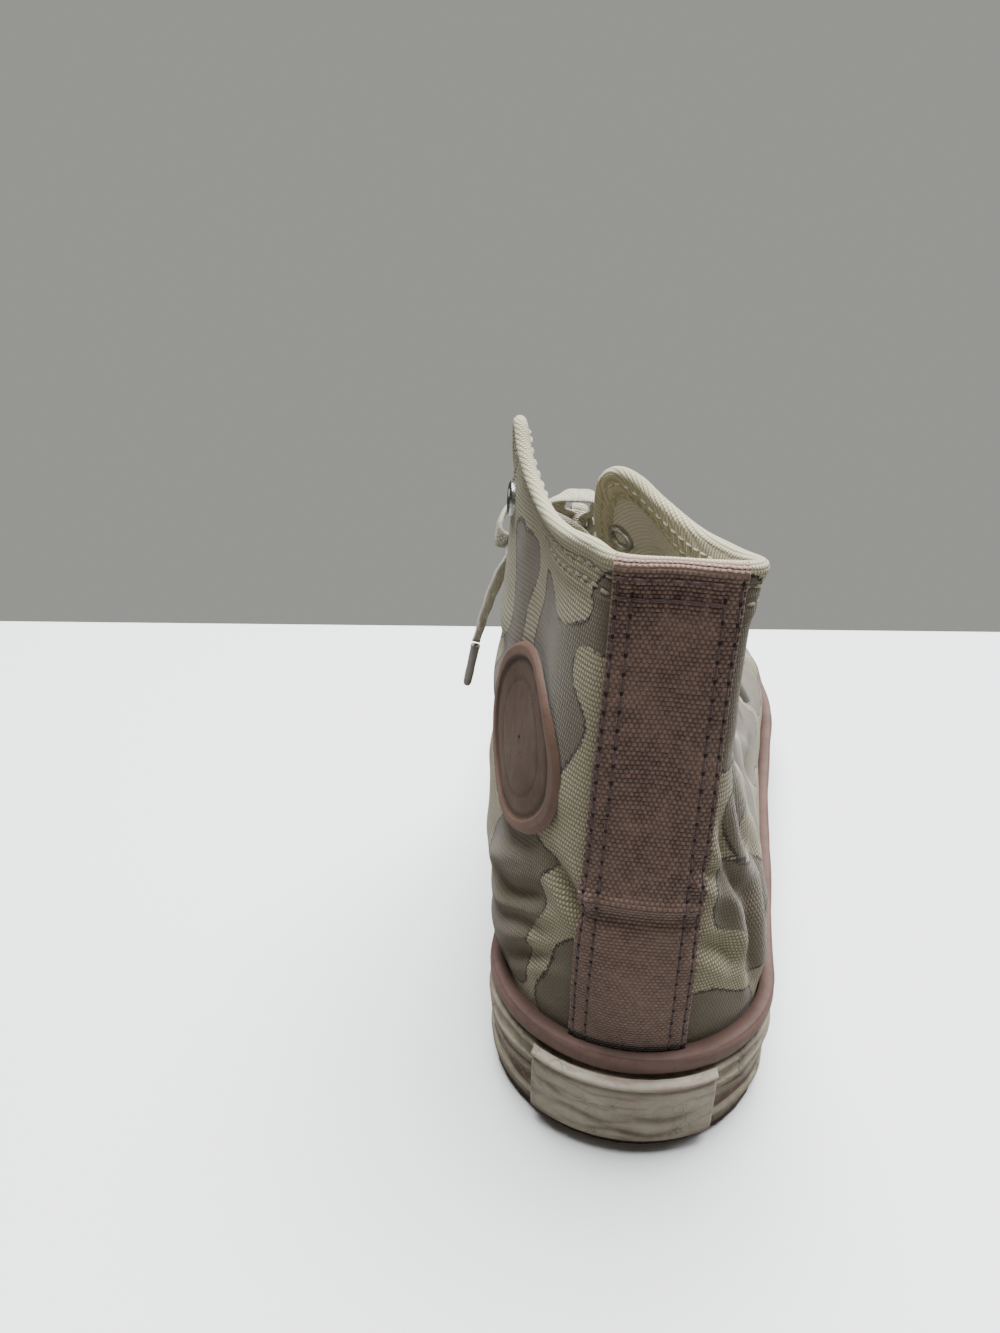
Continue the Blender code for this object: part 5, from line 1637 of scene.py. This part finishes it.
# Routes of the free lace, in metres, the same as the solid part's.
KNOT_CENTRE = (-0.0250, 0.0642, 0.1262)
LACE_ROUTES = {
    "lace_run_inner": ((-0.0428, 0.0398, 0.1324), (-0.0430, 0.0470, 0.1355), (-0.0405, 0.0555, 0.1365),
                       (-0.0360, 0.0610, 0.1340), (-0.0306, 0.0635, 0.1289)),
    "lace_run_outer": ((-0.0049, 0.0421, 0.1276), (-0.0060, 0.0500, 0.1305), (-0.0100, 0.0575, 0.1310),
                       (-0.0150, 0.0625, 0.1295), (-0.0188, 0.0635, 0.1277)),
    "bow_loop_back": ((-0.0270, 0.0630, 0.1315), (-0.0305, 0.0610, 0.1345), (-0.0305, 0.0585, 0.1370),
                      (-0.0260, 0.0570, 0.1390), (-0.0200, 0.0572, 0.1388), (-0.0165, 0.0595, 0.1365),
                      (-0.0180, 0.0620, 0.1335), (-0.0210, 0.0632, 0.1315)),
    "bow_loop_front": ((-0.0270, 0.0687, 0.1240), (-0.0285, 0.0745, 0.1220), (-0.0295, 0.0800, 0.1175),
                       (-0.0270, 0.0845, 0.1115), (-0.0220, 0.0840, 0.1085), (-0.0185, 0.0795, 0.1120),
                       (-0.0195, 0.0745, 0.1180), (-0.0220, 0.0687, 0.1235)),
    "lace_end_inner": ((-0.0305, 0.0673, 0.1243), (-0.0360, 0.0690, 0.1220), (-0.0420, 0.0670, 0.1175),
                       (-0.0460, 0.0625, 0.1115), (-0.0485, 0.0575, 0.1050), (-0.0500, 0.0540, 0.0995),
                       (-0.0510, 0.0515, 0.0950)),
    "lace_end_outer": ((-0.0194, 0.0654, 0.1239), (-0.0135, 0.0685, 0.1200), (-0.0065, 0.0705, 0.1145),
                       (0.0010, 0.0710, 0.1075), (0.0085, 0.0700, 0.1005), (0.0145, 0.0695, 0.0935),
                       (0.0200, 0.0705, 0.0870), (0.0240, 0.0715, 0.0820)),
}
AGLET_ROUTES = {
    "aglet_inner": ((-0.0511, 0.0512, 0.0944), (-0.0534, 0.0489, 0.0820)),
    "aglet_outer": ((0.0244, 0.0717, 0.0814), (0.0310, 0.0750, 0.0695)),
}


@dataclass
class Lacing(SubAssembly):
    """Eyelets, the crossings of the flat lace, and its bow."""

    laced: int = 7
    width: float = 0.0075
    thickness: float = 0.0013
    clear: float = 0.0011
    lip: float = 0.0006
    flange: float = 0.0043
    bore: float = 0.0022
    spokes: int = 36

    def build(self) -> None:
        """Makes every part of the lacing."""
        for side in Side:
            for index in range(self.form.eyelets):
                self.build_eyelet(side, index)
        for index in range(self.laced - 1):
            self.build_crossing(index)
        self.build_bow()

    def build_eyelet(self, side: Side, index: int) -> None:
        """Makes one eyelet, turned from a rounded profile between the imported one's faces."""
        word = "outer" if side is Side.OUTER else "inner"
        name = f"eyelet_{word}_{index + 1}"
        centre, _, normal = self.form.throat(side, index)
        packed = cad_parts[name]
        heights = [(packed.matrix_world @ v.co - centre).dot(normal) for v in packed.data.vertices]
        high, low = max(heights) - self.lip, min(heights) + self.lip
        profile = []
        for sign, level, out in ((1, high, self.flange), (-1, low, self.flange - 0.0005)):
            part = []
            middle, half = (self.bore + out) / 2, (out - self.bore) / 2
            for turn in np.linspace(0, math.pi, 9):
                rise = sign * self.lip * (0.15 + math.sin(turn))
                part.append((middle - half * math.cos(turn), level + rise))
            profile += part if sign > 0 else part[::-1]
        turns = [2 * math.pi * k / self.spokes for k in range(self.spokes)]
        place = Matrix.Translation(centre) @ normal.to_track_quat("Z", "Y").to_matrix().to_4x4()
        grid = []
        for radius, height in profile + profile[:1]:
            ring = [Vector((radius * math.cos(turn), radius * math.sin(turn), height)) for turn in turns]
            grid.append([place @ point for point in ring])
        self.maker.sheet(name + "_ring", np.array(grid), self.finishes.metal, "metal", wrap=True,
                         replaces=(name,))

    def ribbon(self, centres: Grid, normals: Grid, width: float, thickness: float,
               cup: float = 0.0) -> tuple[Grid, Grid]:
        """Closed flat lace along a line.

        Args:
            centres: Points along the lace.
            normals: Direction that its face looks at each point.
            width: Width of the lace.
            thickness: Thickness of the lace.
            cup: How far its edges curl.

        Returns:
            Grid of points, its first and last column the same, and flat places in millimetres.
        """
        ahead = unit(np.gradient(centres, axis=0))
        across = unit(np.cross(normals, ahead))
        up = unit(np.cross(ahead, across))
        run = run_along(centres)
        section = []
        for k in range(LACE_SPOKES):
            turn = 2 * math.pi * k / LACE_SPOKES
            x = math.copysign(abs(math.cos(turn)) ** 0.55, math.cos(turn))
            y = math.copysign(abs(math.sin(turn)) ** 0.8, math.sin(turn))
            section.append((x, y))
        grid = []
        for x, y in section + section[:1]:
            bend = cup * x * x
            ripple = 0.00012 * np.sin(run / 0.0011 + 3 * x)
            rise = (y * thickness / 2 + bend + ripple)[:, None]
            grid.append(centres + across * x * width / 2 + up * rise)
        grid = np.array(grid).transpose(1, 0, 2)
        columns = np.array([0, *np.cumsum([0.7] * LACE_SPOKES)])
        return grid, flat_grid(columns, run[:, None] / MM)

    def lace_piece(self, name: str, ribbons: list[tuple[Grid, Grid]], replaces: tuple[str, ...],
                   soil: float = 0.25) -> bpy.types.Object:
        """Makes one piece of lace from one or more ribbons, their ends filled."""
        points, faces, flats = [], [], []
        for grid, flat in ribbons:
            start = len(points)
            rows, columns = grid.shape[0], grid.shape[1] - 1
            points += grid[:, :-1].reshape(-1, 3).tolist()
            flats += flat[:, :-1].reshape(-1, 2).tolist()
            faces += tube_faces(start, rows, columns)
        return self.maker.piece(name, np.array(points), faces, self.finishes.lace, "lace_cotton", replaces,
                                uv=np.array(flats), marks={"soil": np.full(len(points), soil)})

    def build_crossing(self, index: int) -> None:
        """Makes the two laces between one pair of eyelets and the next."""
        over = self.form.hem_step + self.form.gap + self.lip + self.clear + self.thickness / 2
        under = self.form.wall + self.form.gap + self.lip + self.clear + self.thickness / 2
        slack = (index / (self.form.eyelets - 2)) ** 2
        ribbons = []
        for side in (Side.OUTER, Side.INNER):
            other = Side(-side.value)
            start, _, start_normal = self.form.throat(side, index)
            near_hole, near, near_normal = self.form.throat(side, index + 0.3)
            far_hole, far, far_normal = self.form.throat(other, index + 0.7)
            near_clear = near + (near - near_hole) * (0.12 + slack * 0.25)
            far_clear = far + (far - far_hole) * (0.12 + slack * 0.25)
            rows = [
                (start + start_normal * (over - 0.0012), start_normal),
                (near_clear + near_normal * over, near_normal),
                (far_clear - far_normal * under, far_normal),
                (far.lerp(far_hole, 0.22) - far_normal * (under + 0.0006 + slack * 0.003), far_normal),
            ]
            table = SmoothTable([(k, *point, *normal) for k, (point, normal) in enumerate(rows)])
            fine = table.at(np.linspace(0, 3, 40))
            ribbons.append(self.ribbon(fine[:, :3], unit(fine[:, 3:]), self.width, self.thickness))
        self.lace_piece(f"lace_bars_{index + 1}", ribbons, (f"lace_crossing_{index + 1}",))

    def route(self, points: list, count: int) -> Grid:
        """Evenly spaced points on a smooth curve through a route."""
        table = SmoothTable([(k, *point) for k, point in enumerate(points)])
        dense = table.at(np.linspace(0, len(points) - 1, 400))
        run = run_along(dense)
        at = np.linspace(0, run[-1], count)
        return places_along(at, run, dense)

    def build_bow(self) -> None:
        """Makes the knot, each half of the lace with its loop and its end, and the aglets."""
        halves = {
            "lace_half_inner": (("lace_run_inner", "bow_loop_back", "lace_end_inner"), "aglet_inner"),
            "lace_half_outer": (("lace_run_outer", "bow_loop_front", "lace_end_outer"), "aglet_outer"),
        }
        knot = self.build_knot()
        for name, (routes, aglet) in halves.items():
            side = Side.INNER if name.endswith("inner") else Side.OUTER
            hole, _, out = self.form.throat(side, self.laced - 1)
            points = [tuple(hole + out * self.lip)]
            for route in routes:
                points += LACE_ROUTES[route]
            LOG.info("%s starts %.1f mm from its eyelet", name, (Vector(points[1]) - hole).length / MM)
            line = self.route(points, 180)
            centre = np.array(KNOT_CENTRE)
            outward = unit(line - (centre + np.array([0, -0.004, -0.012])))
            ahead = unit(np.gradient(line, axis=0))
            # It lies flat on the flap where it leaves the eyelet, and turns towards the knot.
            sideways = np.array([-1.0 if name.endswith("inner") else 1.0, 0.0, 0.1])
            near_flap = np.clip(1 - np.arange(len(line)) / 30, 0, 1)[:, None]
            outward = outward * (1 - near_flap) + sideways * near_flap * 2
            face = unit(outward - (outward * ahead).sum(axis=1, keepdims=True) * ahead)
            for _ in range(6):
                face[1:-1] = unit(face[:-2] + face[1:-1] + face[2:])
            pull = np.linalg.norm((line - centre) / np.array([0.0075, 0.0065, 0.0065]), axis=1)
            # The lace is bunched in the eyelet and in the knot.
            bunched = np.clip(np.arange(len(line)) / 14 + 0.4, 0, 1)
            width = self.width * (0.55 + 0.45 * np.clip(pull - 0.6, 0, 1)) * bunched
            grid, flat = self.shaped_ribbon(line, face, width)
            piece = self.lace_piece(name, [(grid, flat)], routes, 0.2)
            tip = self.build_aglet(aglet)

    def shaped_ribbon(self, line: Grid, face: Grid, width: Grid) -> tuple[Grid, Grid]:
        """Flat lace whose width changes along it."""
        grid, flat = self.ribbon(line, face, 1.0, self.thickness)
        offsets = grid - line[:, None, :]
        across = unit(np.cross(face, unit(np.gradient(line, axis=0))))
        side = (offsets * across[:, None, :]).sum(axis=-1, keepdims=True)
        grid = grid + across[:, None, :] * side * (width[:, None, None] - 1.0)
        return grid, flat

    def build_knot(self) -> bpy.types.Object:
        """Makes the knot as two wraps of lace drawn tight round each other."""
        centre = np.array(KNOT_CENTRE)
        ribbons = []
        turns = np.linspace(0, 2 * math.pi, 60)
        wraps = ((0.35, (0.0058, 0.0044, 0.0048), 0.0), (1.25, (0.0052, 0.0040, 0.0044), 0.5))
        for tilt, (wide, deep, high), shift in wraps:
            over = np.cos(turns) * wide * math.sin(tilt) + np.sin(turns + shift) * high
            ring = np.stack([np.cos(turns) * wide * math.cos(tilt), np.sin(turns) * deep, over], axis=1)
            ribbons.append(self.ribbon(centre + ring * 0.86, unit(ring), 0.0048, 0.0014))
        return self.lace_piece("lace_knot_wraps", ribbons, ("lace_knot",), 0.35)

    def build_aglet(self, name: str) -> bpy.types.Object:
        """Makes one crimped aglet."""
        start, end = (np.array(point) for point in AGLET_ROUTES[name])
        ahead = unit(end - start)
        side = unit(np.cross(ahead, (0.0, 0.0, 1.0)))
        over = np.cross(ahead, side)
        profile = [(0.0, 0.0002), (0.0, 0.0013), (0.04, 0.00145), (0.10, 0.0013), (0.3, 0.0013),
                   (0.5, 0.00122), (0.7, 0.0013), (0.93, 0.0012), (1.0, 0.0008), (1.0, 0.0001)]
        turns = np.linspace(0, 2 * math.pi, 20, endpoint=False)
        out = [side * math.cos(turn) + over * math.sin(turn) for turn in turns]
        grid = [[start + (end - start) * share + way * radius for way in out] for share, radius in profile]
        return self.maker.sheet(name + "_tip", np.array(grid), self.finishes.aglet, "metal", wrap=True,
                                replaces=(name,), flip=True)


@dataclass
class Studio:
    """Camera, floor and soft lights."""

    turn: float = 8.39
    pitch: float = 28.0
    roll: float = -0.62
    station: tuple[float, float, float] = (-0.03594, -0.20165, 0.22529)
    floor_end: float = 0.266

    def to_shoe(self, vector: tuple[float, float, float]) -> Vector:
        """Turns a direction or place from the camera's ground axes to the shoe's."""
        turn = math.radians(self.turn)
        x, y, z = vector
        return Vector((x * math.cos(turn) - y * math.sin(turn), x * math.sin(turn) + y * math.cos(turn), z))

    def build(self) -> None:
        """Sets the camera, the stage and the lights."""
        self.place_camera()
        self.lay_floor()
        self.hang_lights()

    def place_camera(self) -> None:
        """Makes the camera at the photograph's angle."""
        lens = bpy.data.cameras.new("camera")
        lens.sensor_fit = "HORIZONTAL"
        lens.sensor_width = 36.0
        lens.lens = 36.0
        lens.clip_start = 0.01
        camera = link(bpy.data.objects.new("camera", lens))
        pitch, roll = math.radians(self.pitch), math.radians(self.roll)
        ahead = Vector((0, math.cos(pitch), -math.sin(pitch)))
        up, right = Vector((0, math.sin(pitch), math.cos(pitch))), Vector((1, 0, 0))
        rolled_up = up * math.cos(roll) + right * math.sin(roll)
        rolled_right = right * math.cos(roll) - up * math.sin(roll)
        axes = [self.to_shoe(tuple(axis)) for axis in (rolled_right, rolled_up, -ahead)]
        place = Matrix(axes).transposed().to_4x4()
        place.translation = self.to_shoe(self.station)
        camera.matrix_world = place
        bpy.context.scene.camera = camera

    def plane(self, name: str, corners: list[tuple[float, float, float]],
              material: bpy.types.Material) -> None:
        """Makes one flat part of the stage."""
        mesh = bpy.data.meshes.new(name)
        mesh.from_pydata([self.to_shoe(corner) for corner in corners], [], [(0, 1, 2, 3)])
        mesh.materials.append(material)
        link(bpy.data.objects.new(name, mesh))

    def lay_floor(self) -> None:
        """Makes the pale floor, which ends where the photograph's grey background starts."""
        floor = StudioPaint("floor_paint_matt", "#fbfcfc", 0.5, "#8a8986").build()
        back = self.floor_end
        self.plane("floor", [(-3, -3, 0), (3, -3, 0), (3, back, 0), (-3, back, 0)], floor)

    def hang_lights(self) -> None:
        """Makes the soft light from above and behind, and a weak fill."""
        for name, place, aim, size, power, colour in (
            ("top_light", (0.08, 0.35, 1.4), (0.0, 0.05, 0.05), 1.5, 92.0, "#fbfdff"),
            ("side_light", (1.2, 0.5, 0.9), (0.0, 0.05, 0.05), 0.9, 5.0, "#f8faff"),
            ("fill_light", (0.3, -1.4, 1.0), (0.0, 0.0, 0.05), 1.4, 0.8, "#ffe9d2"),
        ):
            lamp = bpy.data.lights.new(name, "AREA")
            lamp.shape = "DISK"
            lamp.size = size
            lamp.energy = power
            lamp.color = hex_to_linear(colour)[:3]
            light = link(bpy.data.objects.new(name, lamp))
            light.location = self.to_shoe(place)
            ahead = self.to_shoe(aim) - light.location
            light.rotation_euler = ahead.to_track_quat("-Z", "Y").to_euler()
        world = bpy.data.worlds.new("studio_air")
        world.use_nodes = True
        # What is seen behind the shoe is lighter than the light it sheds on it.
        seen = add_node(world.node_tree, "LightPath")
        power = add_node(world.node_tree, "MapRange", {"To Min": 0.16, "To Max": 1.0,
                                                       "Value": seen.outputs["Is Camera Ray"]})
        wire(world.node_tree.nodes["Background"], {"Color": "#9c9c98", "Strength": power})
        bpy.context.scene.world = world


def main() -> None:
    """Builds the studio and every piece of the shoe."""
    logging.basicConfig(level=logging.INFO, format="%(name)s: %(message)s")
    Studio().build()
    drape = Drape(ShoeForm())
    finishes = Finishes()
    maker = Fabricator()
    for assembly in (Lacing, UpperPanels, HeelStrip, AnklePatch, ToeCap, SoleUnit, Tongue):
        LOG.info("building %s", assembly.__name__)
        assembly(maker, drape, finishes).build()
    bpy.context.view_layer.update()


if __name__ == "__main__":
    main()
